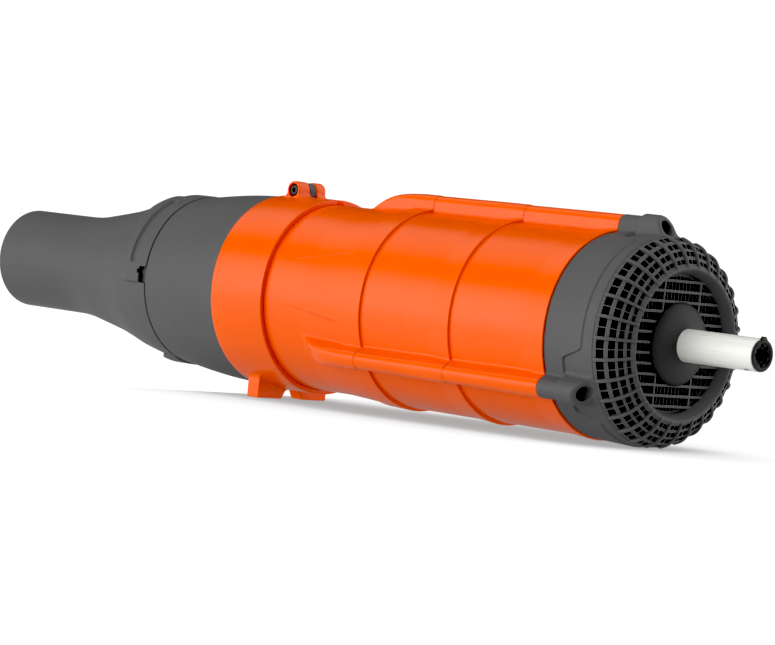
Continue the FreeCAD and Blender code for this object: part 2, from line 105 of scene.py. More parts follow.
def dense(lo, hi, coarse, spots):
    """samples from lo to hi: coarse apart, and finer within each (centre, half width, step)"""
    v = [lo]
    x = lo
    while x < hi - 1e-9:
        s = coarse
        for c, w, st in spots:
            d = abs(x - c) - w
            if d < 0:
                s = min(s, st)
            else:
                s = min(s, max(st, min(coarse, st + 0.35 * d)))
                if c > x:
                    s = min(s, max(st, c - w - x)) if c - w > x else s
        x = min(hi, x + s)
        v.append(x)
    if len(v) > 2 and v[-1] - v[-2] < 0.3 * (v[-2] - v[-3]):
        del v[-2]
    return np.array(v)


def angles(coarse, spots):
    """angles over a full turn, in degrees; spots are (centre, half width, step)"""
    all_spots = []
    for c, w, s in spots:
        for t in (-360.0, 0.0, 360.0):
            all_spots.append((c + t, w, s))
    v = dense(0.0, 360.0, coarse, all_spots)
    return v[:-1]


# ------------------------------------------------------------------ meshes
def to_scene(p):
    q = np.array(p, float)
    q[:, 0] -= X_END
    return q * 0.001


def make(name, verts, faces, normals=None, sharp=None):
    me = bpy.data.meshes.new(name)
    verts = to_scene(np.asarray(verts, float).reshape(-1, 3))
    me.vertices.add(len(verts))
    me.vertices.foreach_set("co", verts.ravel())
    if isinstance(faces, np.ndarray):
        n, k = faces.shape
        me.loops.add(n * k)
        me.loops.foreach_set("vertex_index", faces.astype(np.int32).ravel())
        me.polygons.add(n)
        me.polygons.foreach_set("loop_start", np.arange(n, dtype=np.int32) * k)
    else:
        flat = [i for f in faces for i in f]
        starts = np.cumsum([0] + [len(f) for f in faces[:-1]])
        me.loops.add(len(flat))
        me.loops.foreach_set("vertex_index", np.array(flat, np.int32))
        me.polygons.add(len(faces))
        me.polygons.foreach_set("loop_start", np.array(starts, np.int32))
    me.update(calc_edges=True)
    me.validate(clean_customdata=False)
    me.polygons.foreach_set("use_smooth", np.ones(len(me.polygons), bool))
    if sharp is not None:
        me.set_sharp_from_angle(angle=math.radians(sharp))
    if normals is not None and len(normals) == len(me.vertices):
        me.normals_split_custom_set_from_vertices([tuple(n) for n in normals])
    ob = bpy.data.objects.new(name, me)
    bpy.context.scene.collection.objects.link(ob)
    return ob


def gradient(f, p, h=0.03):
    g = np.empty_like(p)
    for a in range(3):
        q = p.copy()
        q[:, a] += h
        hi = f(q[:, 0], q[:, 1], q[:, 2])
        q[:, a] -= 2 * h
        lo = f(q[:, 0], q[:, 1], q[:, 2])
        g[:, a] = (hi - lo) / (2 * h)
    return g


def net(name, f, xs, phi, ts, rm):
    """closed skin of f(x, y, z) < 0, sampled on shells of radius rm(x) + ts about the axis, over a full turn"""
    xs, ts = np.asarray(xs, float), np.asarray(ts, float)
    ph = np.radians(phi)
    nx, nj, nk = len(xs), len(ph), len(ts)
    rr = rm(xs)[:, None] + ts[None, :]
    X = np.broadcast_to(xs[:, None, None], (nx, nj, nk))
    Y = rr[:, None, :] * np.cos(ph)[None, :, None]
    Z = rr[:, None, :] * np.sin(ph)[None, :, None]
    V = np.asarray(f(X, Y, Z), np.float32)
    V = np.where(np.abs(V) < 1e-6, np.float32(1e-6), V)
    S = V < 0
    S1 = np.roll(S, -1, axis=1)
    cnt = np.zeros((nx - 1, nj, nk - 1), np.int8)
    for A in (S, S1):
        for di in (0, 1):
            for dk in (0, 1):
                cnt += A[di:nx - 1 + di, :, dk:nk - 1 + dk]
    act = (cnt > 0) & (cnt < 8)
    idx = np.argwhere(act)
    ids = np.full(act.shape, -1, np.int64)
    ids[act] = np.arange(len(idx))
    corner = [(a, b, c) for a in (0, 1) for b in (0, 1) for c in (0, 1)]
    cp, cv = [], []
    for a, b, c in corner:
        i, j, k = idx[:, 0] + a, (idx[:, 1] + b) % nj, idx[:, 2] + c
        cv.append(V[i, j, k].astype(float))
        cp.append(np.stack([X[i, j, k], Y[i, j, k], Z[i, j, k]], 1))
    acc, num = np.zeros((len(idx), 3)), np.zeros(len(idx))
    for p in range(8):
        for q in range(p + 1, 8):
            if sum(abs(corner[p][t] - corner[q][t]) for t in range(3)) != 1:
                continue
            m = (cv[p] < 0) != (cv[q] < 0)
            t = np.where(m, cv[p] / np.where(m, cv[p] - cv[q], 1.0), 0.0)[:, None]
            acc += np.where(m[:, None], cp[p] + t * (cp[q] - cp[p]), 0.0)
            num += m
    P = acc / num[:, None]
    quads = []
    J = np.arange(nj)
    # edges along x
    i, j, k = np.nonzero(S[:-1, :, 1:-1] != S[1:, :, 1:-1])
    k = k + 1
    quads.append(np.stack([ids[i, (j - 1) % nj, k - 1], ids[i, j, k - 1], ids[i, j, k], ids[i, (j - 1) % nj, k]], 1))
    # edges along the angle
    i, j, k = np.nonzero(S[1:-1, :, 1:-1] != S1[1:-1, :, 1:-1])
    i, k = i + 1, k + 1
    quads.append(np.stack([ids[i - 1, j, k - 1], ids[i, j, k - 1], ids[i, j, k], ids[i - 1, j, k]], 1))
    # edges along the radius
    i, j, k = np.nonzero(S[1:-1, :, :-1] != S[1:-1, :, 1:])
    i = i + 1
    quads.append(np.stack([ids[i - 1, (j - 1) % nj, k], ids[i, (j - 1) % nj, k], ids[i, j, k], ids[i - 1, j, k]], 1))
    Q = np.concatenate(quads)
    Q = Q[(Q >= 0).all(1)]
    for _ in range(4):
        g = gradient(f, P)
        g2 = np.maximum((g * g).sum(1), 1e-4)
        d = f(P[:, 0], P[:, 1], P[:, 2]) / g2
        mv = -d[:, None] * g
        L = np.linalg.norm(mv, axis=1)
        mv *= np.minimum(1.0, 0.5 / np.maximum(L, 1e-9))[:, None]
        P = P + mv
    g = gradient(f, P)
    N = g / np.maximum(np.linalg.norm(g, axis=1), 1e-9)[:, None]
    c = P[Q]
    fn = np.cross(c[:, 2] - c[:, 0], c[:, 3] - c[:, 1])
    flip = (fn * N[Q].sum(1)).sum(1) < 0
    Q[flip] = Q[flip][:, ::-1]
    used = np.zeros(len(P), bool)
    used[Q.ravel()] = True
    new = np.cumsum(used) - 1
    return make(name, P[used], new[Q], normals=N[used])


def rounded(poly, rad, seg=4, closed=True):
    """the polygon with each corner rounded; rad is one number or a list"""
    n = len(poly)
    P = [np.array(p, float) for p in poly]
    out = []
    for i in range(n):
        r = rad[i] if isinstance(rad, (list, tuple)) else rad
        if (not closed and i in (0, n - 1)) or r <= 0:
            out.append(tuple(P[i]))
            continue
        a, b, c = P[i - 1], P[i], P[(i + 1) % n]
        u, v = a - b, c - b
        lu, lv = np.linalg.norm(u), np.linalg.norm(v)
        if lu < 1e-9 or lv < 1e-9:
            out.append(tuple(b))
            continue
        u, v = u / lu, v / lv
        ang = math.acos(max(-1.0, min(1.0, float(u @ v))))
        if ang > math.radians(176):
            out.append(tuple(b))
            continue
        t = min(r / math.tan(ang / 2), 0.48 * lu, 0.48 * lv)
        p0, p2 = b + u * t, b + v * t
        for s in range(seg + 1):
            w = s / seg
            out.append(tuple((1 - w) ** 2 * p0 + 2 * w * (1 - w) * b + w * w * p2))
    return out


def lathe(name, prof, n=160, sharp=32, y=0.0, z=0.0):
    """closed profile of (x, r) turned about the axis, or about a line parallel to it"""
    prof = np.array(prof, float)
    m = len(prof)
    a = np.linspace(0, 2 * math.pi, n, endpoint=False)
    V = np.stack([np.broadcast_to(prof[:, 0][:, None], (m, n)), y + prof[:, 1][:, None] * np.cos(a)[None],
                  z + prof[:, 1][:, None] * np.sin(a)[None]], 2).reshape(-1, 3)
    i, j = np.meshgrid(np.arange(m), np.arange(n), indexing="ij")
    i2, j2 = (i + 1) % m, (j + 1) % n
    Q = np.stack([i * n + j, i2 * n + j, i2 * n + j2, i * n + j2], 2).reshape(-1, 4)
    area = 0.5 * np.sum(prof[:, 0] * np.roll(prof[:, 1], -1) - np.roll(prof[:, 0], -1) * prof[:, 1])
    if area < 0:
        Q = Q[:, ::-1]
    ob = make(name, V, Q, sharp=sharp)
    clean(ob, sharp)
    return ob


def clean(ob, sharp=32, dist=1e-6):
    bm = bmesh.new()
    bm.from_mesh(ob.data)
    bmesh.ops.remove_doubles(bm, verts=bm.verts, dist=dist)
    bmesh.ops.dissolve_degenerate(bm, dist=1e-7, edges=bm.edges)
    bmesh.ops.recalc_face_normals(bm, faces=bm.faces)
    bm.to_mesh(ob.data)
    bm.free()
    ob.data.polygons.foreach_set("use_smooth", np.ones(len(ob.data.polygons), bool))
    if sharp is not None:
        ob.data.set_sharp_from_angle(angle=math.radians(sharp))


def prism(name, outline, lo, hi, axis="x", edge=0.3, seg=3, sharp=35, holes=()):
    """outline of (a, b) points pushed along an axis, its rim rounded"""
    bm = bmesh.new()

    def at(p, h):
        if axis == "x":
            q = (h, p[0], p[1])
        elif axis == "y":
            q = (p[0], h, p[1])
        else:
            q = (p[0], p[1], h)
        return ((q[0] - X_END) * 0.001, q[1] * 0.001, q[2] * 0.001)
    lower = [bm.verts.new(at(p, lo)) for p in outline]
    upper = [bm.verts.new(at(p, hi)) for p in outline]
    n = len(outline)
    bm.faces.new(lower[::-1])
    bm.faces.new(upper)
    for k in range(n):
        bm.faces.new((lower[k], lower[(k + 1) % n], upper[(k + 1) % n], upper[k]))
    bmesh.ops.recalc_face_normals(bm, faces=bm.faces)
    if edge > 0:
        rim = [e for e in bm.edges if len(e.link_faces) == 2 and e.calc_face_angle(0) > math.radians(40)]
        bmesh.ops.bevel(bm, geom=rim, offset=edge * 0.001, segments=seg, profile=0.5, affect="EDGES", clamp_overlap=True)
    me = bpy.data.meshes.new(name)
    bm.to_mesh(me)
    bm.free()
    me.polygons.foreach_set("use_smooth", np.ones(len(me.polygons), bool))
    me.set_sharp_from_angle(angle=math.radians(sharp))
    ob = bpy.data.objects.new(name, me)
    bpy.context.scene.collection.objects.link(ob)
    return ob


def joined(name, obs):
    """one object from several"""
    bm = bmesh.new()
    for o in obs:
        bm.from_mesh(o.data)
    me = bpy.data.meshes.new(name)
    bm.to_mesh(me)
    bm.free()
    for o in obs:
        old = o.data
        bpy.data.objects.remove(o)
        bpy.data.meshes.remove(old)
    me.polygons.foreach_set("use_smooth", np.ones(len(me.polygons), bool))
    me.set_sharp_from_angle(angle=math.radians(33))
    ob = bpy.data.objects.new(name, me)
    bpy.context.scene.collection.objects.link(ob)
    return ob


# ------------------------------------------------------------------ materials
def srgb(r, g, b):
    def c(v):
        v /= 255.0
        return v / 12.92 if v <= 0.04045 else ((v + 0.055) / 1.055) ** 2.4
    return (c(r), c(g), c(b), 1.0)


class Mat:
    def __init__(self, name):
        self.m = bpy.data.materials.new(name)
        self.m.use_nodes = True
        self.t = self.m.node_tree
        self.n = self.t.nodes
        self.b = self.n["Principled BSDF"]
        self.co = self.n.new("ShaderNodeTexCoord")
        self.xyz = self.co.outputs["Object"]

    def link(self, a, b):
        self.t.links.new(a, b)

    def noise(self, scale, detail=2.0, rough=0.5, vec=None, stretch=None):
        v = vec or self.xyz
        if stretch:
            mp = self.n.new("ShaderNodeMapping")
            mp.inputs["Scale"].default_value = stretch
            self.link(v, mp.inputs["Vector"])
            v = mp.outputs["Vector"]
        t = self.n.new("ShaderNodeTexNoise")
        t.inputs["Scale"].default_value = scale
        t.inputs["Detail"].default_value = detail
        t.inputs["Roughness"].default_value = rough
        self.link(v, t.inputs["Vector"])
        return t.outputs["Fac"]

    def map(self, v, a, b, c, d):
        r = self.n.new("ShaderNodeMapRange")
        r.inputs["From Min"].default_value = a
        r.inputs["From Max"].default_value = b
        r.inputs["To Min"].default_value = c
        r.inputs["To Max"].default_value = d
        self.link(v, r.inputs["Value"])
        return r.outputs["Result"]

    def math(self, op, a, b):
        r = self.n.new("ShaderNodeMath")
        r.operation = op
        for k, v in enumerate((a, b)):
            if isinstance(v, (int, float)):
                r.inputs[k].default_value = v
            else:
                self.link(v, r.inputs[k])
        return r.outputs[0]

    def mix(self, fac, a, b):
        r = self.n.new("ShaderNodeMix")
        r.data_type = "RGBA"
        for k, v in ((0, fac), (6, a), (7, b)):
            if isinstance(v, (int, float)):
                r.inputs[k].default_value = v
            elif isinstance(v, tuple):
                r.inputs[k].default_value = v
            else:
                self.link(v, r.inputs[k])
        return r.outputs[2]

    def bump(self, height, strength, distance, normal=None):
        r = self.n.new("ShaderNodeBump")
        r.inputs["Strength"].default_value = strength
        r.inputs["Distance"].default_value = distance
        self.link(height, r.inputs["Height"])
        if normal is not None:
            self.link(normal, r.inputs["Normal"])
        return r.outputs["Normal"]

    def set(self, **kw):
        for k, v in kw.items():
            s = self.b.inputs[k.replace("_", " ")]
            if hasattr(v, "is_linked") or hasattr(v, "links"):
                self.link(v, s)
            else:
                s.default_value = v
        return self


def shade(c, k):
    return (min(1.0, c[0] * k), min(1.0, c[1] * k), min(1.0, c[2] * k), 1.0)


def plastic(name, col, rough, grain=0.10, grain_mm=0.35, cloud=0.05, spec=0.5, edge=0.10, coat=0.0):
    """moulded plastic: spark-eroded grain, flow marks, and a painted highlight on convex edges (strength set by edge),
    broken by fine grain like slight rubbing
    """
    m = Mat(name)
    cl = m.noise(14.0, 3.0, 0.55)
    fl = m.noise(60.0, 2.0, 0.5, stretch=(0.35, 1.0, 1.0))
    fine = m.noise(1000.0 / grain_mm, 2.0, 0.6)
    f = m.math("ADD", m.math("MULTIPLY", cl, 0.6), m.math("MULTIPLY", fl, 0.4))
    f = m.map(f, 0.32, 0.68, 0.0, 1.0)
    base = m.mix(f, shade(col, 1.0 - cloud), shade(col, 1.0 + cloud))
    geo = m.n.new("ShaderNodeNewGeometry")
    # painted highlight: convex edges, found by pointiness, are lightened up to 1.5 times the base colour, broken by
    # fine grain, standing for edges catching light as well as slight rubbing
    edge_highlight_and_rub = m.map(geo.outputs["Pointiness"], 0.505, 0.56, 0.0, edge)
    base = m.mix(m.math("MULTIPLY", edge_highlight_and_rub, m.map(fine, 0.3, 0.7, 0.5, 1.0)), base, shade(col, 1.5))
    m.set(Base_Color=base)
    m.set(Roughness=m.map(m.math("ADD", m.math("MULTIPLY", cl, 0.5), m.math("MULTIPLY", fine, 0.5)), 0.35, 0.65, rough - 0.05, rough + 0.07))
    n1 = m.bump(fine, grain, 0.00006)
    m.set(Normal=m.bump(cl, 0.10, 0.0012, n1))
    m.b.inputs["Specular IOR Level"].default_value = spec
    if coat:
        m.b.inputs["Coat Weight"].default_value = coat
        m.b.inputs["Coat Roughness"].default_value = 0.22
    return m.m


def rubber(name, col, rough):
    m = Mat(name)
    cl = m.noise(30.0, 3.0, 0.6)
    fine = m.noise(2600.0, 2.0, 0.6)
    m.set(Base_Color=m.mix(m.map(cl, 0.3, 0.7, 0.0, 1.0), shade(col, 0.85), shade(col, 1.25)))
    m.set(Roughness=m.map(fine, 0.3, 0.7, rough - 0.06, rough + 0.08))
    m.set(Normal=m.bump(fine, 0.12, 0.00008))
    m.b.inputs["Specular IOR Level"].default_value = 0.4
    return m.m


def metal(name, col, rough, turned=True, aniso=0.0):
    m = Mat(name)
    cl = m.noise(40.0, 3.0, 0.6)
    rings = m.noise(500.0, 2.0, 0.5, stretch=(3.0, 0.15, 0.15) if turned else None)
    m.set(Base_Color=m.mix(m.map(cl, 0.3, 0.7, 0.0, 1.0), shade(col, 0.82), shade(col, 1.12)))
    m.b.inputs["Metallic"].default_value = 1.0
    m.set(Roughness=m.map(rings, 0.3, 0.7, rough - 0.08, rough + 0.10))
    m.set(Normal=m.bump(rings, 0.15, 0.00006))
    return m.m


def coated(name, col, rough):
    """tube with a satin coating: faint draw lines, soft patches, light scuffs"""
    m = Mat(name)
    cl = m.noise(22.0, 3.0, 0.55)
    draw = m.noise(420.0, 2.0, 0.5, stretch=(0.06, 1.0, 1.0))
    scuff = m.noise(160.0, 4.0, 0.7, stretch=(0.3, 1.0, 1.0))
    c = m.mix(m.map(cl, 0.3, 0.7, 0.0, 1.0), shade(col, 0.965), shade(col, 1.02))
    c = m.mix(m.map(scuff, 0.66, 0.80, 0.0, 0.18), c, shade(col, 0.72))
    m.set(Base_Color=c)
    m.set(Roughness=m.map(draw, 0.3, 0.7, rough - 0.05, rough + 0.06))
    m.set(Normal=m.bump(draw, 0.10, 0.00005))
    m.b.inputs["Specular IOR Level"].default_value = 0.55
    return m.m


ORANGE = (0.94, 0.116, 0.001, 1.0)
GREY = srgb(89, 89, 90)
# edge= sets the strength of the painted highlight on convex edges of each plastic
MATS = {
    "orange_shell": plastic("orange_shell", ORANGE, 0.26, grain=0.025, grain_mm=0.30, cloud=0.035, spec=0.32, edge=0.10),
    "grey_shell": plastic("grey_shell", GREY, 0.60, grain=0.22, grain_mm=0.45, cloud=0.06, spec=0.38, edge=0.25),
    "black_plastic": plastic("black_plastic", srgb(27, 27, 28), 0.50, grain=0.15, grain_mm=0.40, cloud=0.10, spec=0.4, edge=0.2),
    "boot_rubber": rubber("boot_rubber", srgb(56, 56, 57), 0.62),
    "tube_white": coated("tube_white", srgb(244, 243, 238), 0.30),
    "steel": metal("steel", srgb(190, 190, 192), 0.30),
    "zinc_screw": metal("zinc_screw", srgb(150, 150, 154), 0.38),
    "black_oxide": metal("black_oxide", srgb(62, 60, 59), 0.30),
    "brass": metal("brass", srgb(214, 178, 108), 0.34),
    "bush_plastic": plastic("bush_plastic", srgb(196, 190, 176), 0.55, grain=0.1),
    "fan_plastic": plastic("fan_plastic", srgb(44, 45, 47), 0.58, grain=0.2, cloud=0.12, spec=0.35),
    "carrier_alloy": metal("carrier_alloy", srgb(52, 52, 54), 0.55, turned=False),
    "seal_rubber": rubber("seal_rubber", srgb(28, 28, 28), 0.7),
}
slot_of = {s["node"]: s["material_slot"] for s in frame["record"]["subparts"]}
for n, o in NODES.items():
    mat = MATS[slot_of[n]]
    if o.material_slots:
        for s in o.material_slots:
            s.material = mat
    else:
        o.data.materials.append(mat)


def put(ob, mat, body, *nodes):
    ob.data.materials.clear()
    ob.data.materials.append(MATS[mat])
    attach(ob, body)
    if nodes:
        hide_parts(*nodes)
    return ob


def polar(r, a):
    return r * math.cos(math.radians(a)), r * math.sin(math.radians(a))


def local(y, z, a):
    """(across, out) of a point in the frame of the radial direction a"""
    c, s = math.cos(math.radians(a)), math.sin(math.radians(a))
    return -y * s + z * c, y * c + z * s


def turned_to(a, phi):
    """signed degrees from a to phi"""
    return (phi - a + 180.0) % 360.0 - 180.0


# ------------------------------------------------------------------ fan housing
seg_c = table([(-316, 72.4), (-251, 72.4), (-246, 72.62), (-206, 75.05), (-201, 75.35), (-184, 77.15)])
seg_a = table([(-188, 74.9), (-115, 75.15), (-111, 75.4), (-93.4, 76.95), (-92, 77.0)])
seg_b = table([(-96, 74.9), (-24, 75.15), (-20, 75.3), (-1, 76.85), (2, 76.95)])
flare_up = table([(-276, 0.0), (-250, 0.62), (-225, 1.05), (-206, 1.15), (-199, 0.90), (-186, 0.0)])
house_in = table([(-316, 69.6), (-190, 69.6), (-150, 71.6), (-26.2, 71.6), (-25.8, 73.4), (2, 73.4)])
rib_top = smooth_table([(-256, 69.0), (-251, 71.6), (-248, 73.4), (-244, 76.4), (-240, 79.0), (-236, 81.3), (-232, 83.1), (-227.5, 84.8),
                        (-223, 86.1), (-217, 87.2), (-209, 88.1), (-200, 88.9), (2, 90.0)])


def rib_field(x, y, z, a):
    v, w = local(y, z, a)
    st = np.where(x < -92.7, -184.2, -92.7)
    shrink = np.where(x < -184.2, 0.0, 0.62 * (1.0 - np.clip((x - st) / 70.0, 0.0, 1.0)))
    # fine witness groove where the sections of the mould meet
    gap = np.minimum(np.abs(x + 184.5), np.abs(x + 93.0))
    shrink = shrink + 0.42 * np.clip(1.0 - gap / 0.55, 0.0, 1.0)
    for xc in (-205.5, -113.0, -22.0):
        shrink = shrink + 0.10 * np.clip(1.0 - np.abs(x - xc) / 0.8, 0.0, 1.0)
    top = np.hypot(v, w - 81.2) - 7.5
    av = np.abs(v)
    side = av - (7.5 + 1.3 * np.clip((81.2 - w) / 10.7, 0.0, 1.3))
    d = np.where(w > 81.2, top, side) + shrink
    d = np.where(w < 40.0, 60.0, d)
    return smax(d, w - rib_top(x), 3.0)


def housing(x, y, z):
    r = np.hypot(y, z)
    a = smax(r - seg_a(x), smax(-188.0 - x, x + 92.7, 0.3), 0.9)
    b = smax(r - seg_b(x), smax(-96.0 - x, x, 0.3), 0.7)
    # the end flare of the front section carries a low tongue with a plain face
    phi = np.degrees(np.arctan2(z, y)) % 360.0
    k = 74.0 * math.pi / 180.0
    lo = k * np.interp(x, [-276, -251, -234, -213, -200], [184.2, 187.1, 188.7, 190.9, 192.4])
    hi = k * np.interp(x, [-276, -253, -237, -222, -200], [158.6, 154.7, 152.6, 151.1, 149.6])
    tongue = smax(smax(k * phi - lo, hi - k * phi, 3.0), -276.0 - x, 2.0)
    reg = smin(tongue, -205.4 - x, 7.0)
    up = np.where(reg < 3.0, flare_up(x) * ramp(-reg, -0.65, 0.65), 0.0)
    c = smax(r - seg_c(x) - up, smax(-312.0 - x, x + 184.2, 0.3), 0.9)
    d = smin(smin(a, b, 0.5), c, 0.5)
    ribs = None
    for q in RIBS:
        f = rib_field(x, y, z, q)
        ribs = f if ribs is None else np.minimum(ribs, f)
    ribs = smax(ribs, smax(-256.0 - x, x, 0.3), 0.6)
    d = smin(d, ribs, 1.7)
    return smax(d, house_in(x) - r, 0.5)


xs = dense(-313.5, 1.2, 5.0, [(-184.2, 1.6, 0.3), (-92.7, 1.6, 0.3), (0.0, 0.8, 0.4), (-312.0, 0.6, 0.5), (-205.5, 2.0, 0.45), (-230, 44, 2.0),
                              (-113, 1.5, 0.5), (-22, 1.5, 0.5), (-249, 6, 0.9), (-25.9, 0.6, 0.5)])
ph = angles(2.4, [(a, 7.0, 0.42) for a in RIBS] + [(154, 5.5, 0.5), (188.5, 5.5, 0.45)])
ob = net("housing_shell", housing, xs, ph, span((-4.2, -1.0, 0.8), (-1.0, 5.0, 0.6), (5.0, 17.5, 0.8)), lambda x: np.full_like(x, 73.0))
put(ob, "orange_shell", "body", "fan_housing")

# ------------------------------------------------------------------ intake cover: band and bosses
band_hi = table([(-2, 75.2), (0, 75.3), (3, 75.9), (37, 77.4), (48, 78.0)])
band_lo = smooth_table([(-2, 74.0), (10, 74.5), (19, 75.0), (30, 75.9), (37, 76.35), (41, 76.45), (46, 76.2), (49.4, 75.1), (52, 74.25)])
cover_in = table([(-2, 71.2), (2, 71.2), (6, 73.3), (36.8, 73.9), (45.5, 73.6), (52, 71.9)])


def ridge_at(phi):
    g = np.minimum(np.minimum(np.abs(turned_to(90, phi)), np.abs(turned_to(210, phi))), np.abs(turned_to(330, phi)))
    return 19.0 + 18.0 * ramp(g, 16.0, 24.0)


def cover_band(x, y, z):
    r = np.hypot(y, z)
    phi = np.degrees(np.arctan2(z, y)) % 360.0
    s = ramp(x - ridge_at(phi), -0.9, 0.9)
    d = r - (band_hi(x) * (1 - s) + band_lo(x) * s)
    d = smax(d, 0.05 - x, 0.8)
    for a in RIBS:
        v, w = local(y, z, a)
        av = np.abs(v)
        top = np.hypot(v, w - 81.2) - 7.5
        far = np.where(w < 40.0, 60.0, 0.0)
        lug = smax(np.where(w > 81.2, top, av - 7.5 - 0.10 * np.clip(81.2 - w, 0, 9)) + far, smax(0.05 - x, x - 22.0, 0.3), 0.8)
        d = smin(d, lug, 1.8)
        top = np.hypot(v, w - 81.4) - 9.2
        slant = 0.85 * (x - 36.9) + 0.527 * (w - 86.7)
        big = smax(np.where(w > 81.4, top, av - 9.2 - 0.16 * np.clip(81.4 - w, 0, 9)) + far, smax(19.0 - x, slant, 0.3), 2.0)
        d = smin(d, big, 2.6)
    for a in RIBS:
        v, w = local(y, z, a)
        well = smax(np.hypot(v, w - 81.4) - 5.3, 15.0 - x, 0.5)
        d = smax(d, -well, 0.9)
        d = smax(d, -smax(np.hypot(v, w - 81.2) - 2.8, -3.0 - x, 0.3), 0.5)
    return smax(d, cover_in(x) - r, 0.5)


xs = dense(-1.0, 47.0, 3.0, [(0.2, 0.8, 0.45), (19.0, 2.5, 0.6), (28, 8, 1.2), (38.6, 6.0, 0.55), (15.0, 0.8, 0.6), (44, 2, 1.0)])
xs = np.append(xs[:-1], [46.5])
ph = angles(2.0, [(a, 9.0, 0.42) for a in RIBS] + [(a + s * 20.0, 4.5, 0.7) for a in RIBS for s in (-1, 1)])
band = net("cover_band_mesh", cover_band, xs, ph, span((-2.9, 2.5, 0.6), (2.5, 18.0, 0.7)), lambda x: np.full_like(x, 74.2))

# ------------------------------------------------------------------ intake cover: pierced dome, rim and recess
knots = [(45.0, 76.33), (46.5, 76.05), (49.15, 75.2), (54.45, 73.22), (57.38, 71.5), (60.75, 68.45), (62.4, 66.75), (64.42, 63.5), (65.62, 61.1), (66.76, 58.25)]
K = np.array(knots)
S_k = np.concatenate([[0], np.cumsum(np.hypot(*np.diff(K, axis=0).T))])
fx, fr = smooth_table(list(zip(S_k, K[:, 0]))), smooth_table(list(zip(S_k, -K[:, 1])))
row_s = [(S_k[2], S_k[3]), (S_k[4], S_k[5]), (S_k[6], S_k[7]), (S_k[8], S_k[9])]
sv = [S_k[1]]
for i in range(1, len(K) - 1):
    sv += list(np.linspace(S_k[i], S_k[i + 1], 4)[1:])
sv = np.array(sv)
ox, orr = fx(sv), -fr(sv)
tx, tr = np.gradient(ox, sv), np.gradient(orr, sv)
nl = np.hypot(tx, tr)
nxv, nrv = -tr / nl, tx / nl
outer = [(a, b) for a, b in zip(ox, orr)]
# the windows open out inwards, so the inner path runs past each row's edges
slide = np.zeros(len(sv))
for a, b in row_s:
    slide[np.argmin(np.abs(sv - a))] -= 0.75
    slide[np.argmin(np.abs(sv - b))] += 0.75
inner = [(a - 2.2 * c + t * e, b - 2.2 * d + t * f) for a, b, c, d, e, f, t in zip(ox, orr, nxv, nrv, tx / nl, tr / nl, slide)]
row_of = np.full(len(sv) - 1, -1)
for k in range(len(sv) - 1):
    mid = (sv[k] + sv[k + 1]) / 2
    for q, (a, b) in enumerate(row_s):
        if a < mid < b:
            row_of[k] = q
# rim lip and recess wall on the outer path, with partners on the inner path
lip = [(67.1, 57.5), (67.7, 56.9), (68.3, 56.5), (68.75, 55.9), (68.9, 55.2), (68.75, 54.5), (68.2, 53.9), (67.0, 53.2), (64.8, 52.0), (62.4, 50.9), (61.2, 50.45), (60.2, 50.25),
       (58.8, 50.2), (58.5, 50.3), (58.0, 50.7), (57.8, 51.3)]
lip_in = [(64.7, 57.2), (64.8, 56.8), (64.9, 56.5), (64.9, 56.2), (64.8, 56.0), (64.6, 55.8), (64.3, 55.5), (63.6, 55.1), (62.5, 54.4), (61.0, 53.6), (60.4, 53.2), (59.9, 53.0),
          (59.0, 52.7), (58.6, 52.5), (58.2, 52.2), (57.9, 51.8)]
outer += lip
inner += lip_in
bar_off = [-1.13, -1.02, -0.79, -0.42, 0.0, 0.42, 0.79, 1.02, 1.13]
bar_h = [0.0, 1.00, 1.42, 1.63, 1.70, 1.63, 1.42, 1.00, 0.0]
cols, hgt, kind = [], [], []
for k in range(30):
    base_a = 12.0 * k
    for o_, h_ in zip(bar_off, bar_h):
        cols.append(base_a + o_)
        hgt.append(h_)
        kind.append("bar")
    for o_ in (2.6, 4.15):
        cols.append(base_a + o_); hgt.append(0.0); kind.append("hole")
    for o_ in (5.67, 6.33):
        cols.append(base_a + o_); hgt.append(0.0); kind.append("div")
    for o_ in (7.85, 9.4):
        cols.append(base_a + o_); hgt.append(0.0); kind.append("hole")
nc, nr = len(cols), len(outer)
# which columns of cells are holes
hole_col = np.zeros(nc, bool)
for j in range(nc):
    a = cols[j] % 12.0
    b = (cols[(j + 1) % nc] - 1e-9) % 12.0 or 12.0
    mid = ((cols[j] + (cols[(j + 1) % nc] - cols[j]) % 360.0 / 2)) % 12.0
    hole_col[j] = (1.13 < mid < 5.67) or (6.33 < mid < 10.87)
fade = np.ones(nr)
nsv = len(sv)
for i in range(nr):
    if i < nsv:
        fade[i] = min(1.0, (sv[i] - sv[0]) / 2.2)
    else:
        q = i - nsv
        fade[i] = [0.95, 0.85, 0.6, 0.3, 0.1][q] if q < 5 else 0.0
fade[0] = 0.0
onx = np.concatenate([nxv, np.full(len(lip), nxv[-1])])
onr = np.concatenate([nrv, np.full(len(lip), nrv[-1])])
ca, sa = np.cos(np.radians(cols)), np.sin(np.radians(cols))
cols_in = []
for c in cols:
    o_ = (c + 1.5) % 12.0 - 1.5
    cols_in.append(c + {1.13: -0.4, -1.13: 0.4, 5.67: 0.10, 6.33: -0.10}.get(round(o_, 3), 0.0))
ci_, si_ = np.cos(np.radians(cols_in)), np.sin(np.radians(cols_in))
VO = np.zeros((nr, nc, 3))
VI = np.zeros((nr, nc, 3))
hg = np.array(hgt)
for i in range(nr):
    x = outer[i][0] + onx[i] * hg * fade[i]
    r = outer[i][1] + onr[i] * hg * fade[i]
    VO[i] = np.stack([x, r * ca, r * sa], 1)
    VI[i] = np.stack([np.full(nc, inner[i][0]), inner[i][1] * ci_, inner[i][1] * si_], 1)
V = np.concatenate([VO.reshape(-1, 3), VI.reshape(-1, 3)])
off = nr * nc
is_hole = np.zeros((nr - 1, nc), bool)
for i in range(len(row_of)):
    if row_of[i] >= 0:
        is_hole[i] = hole_col
F = []
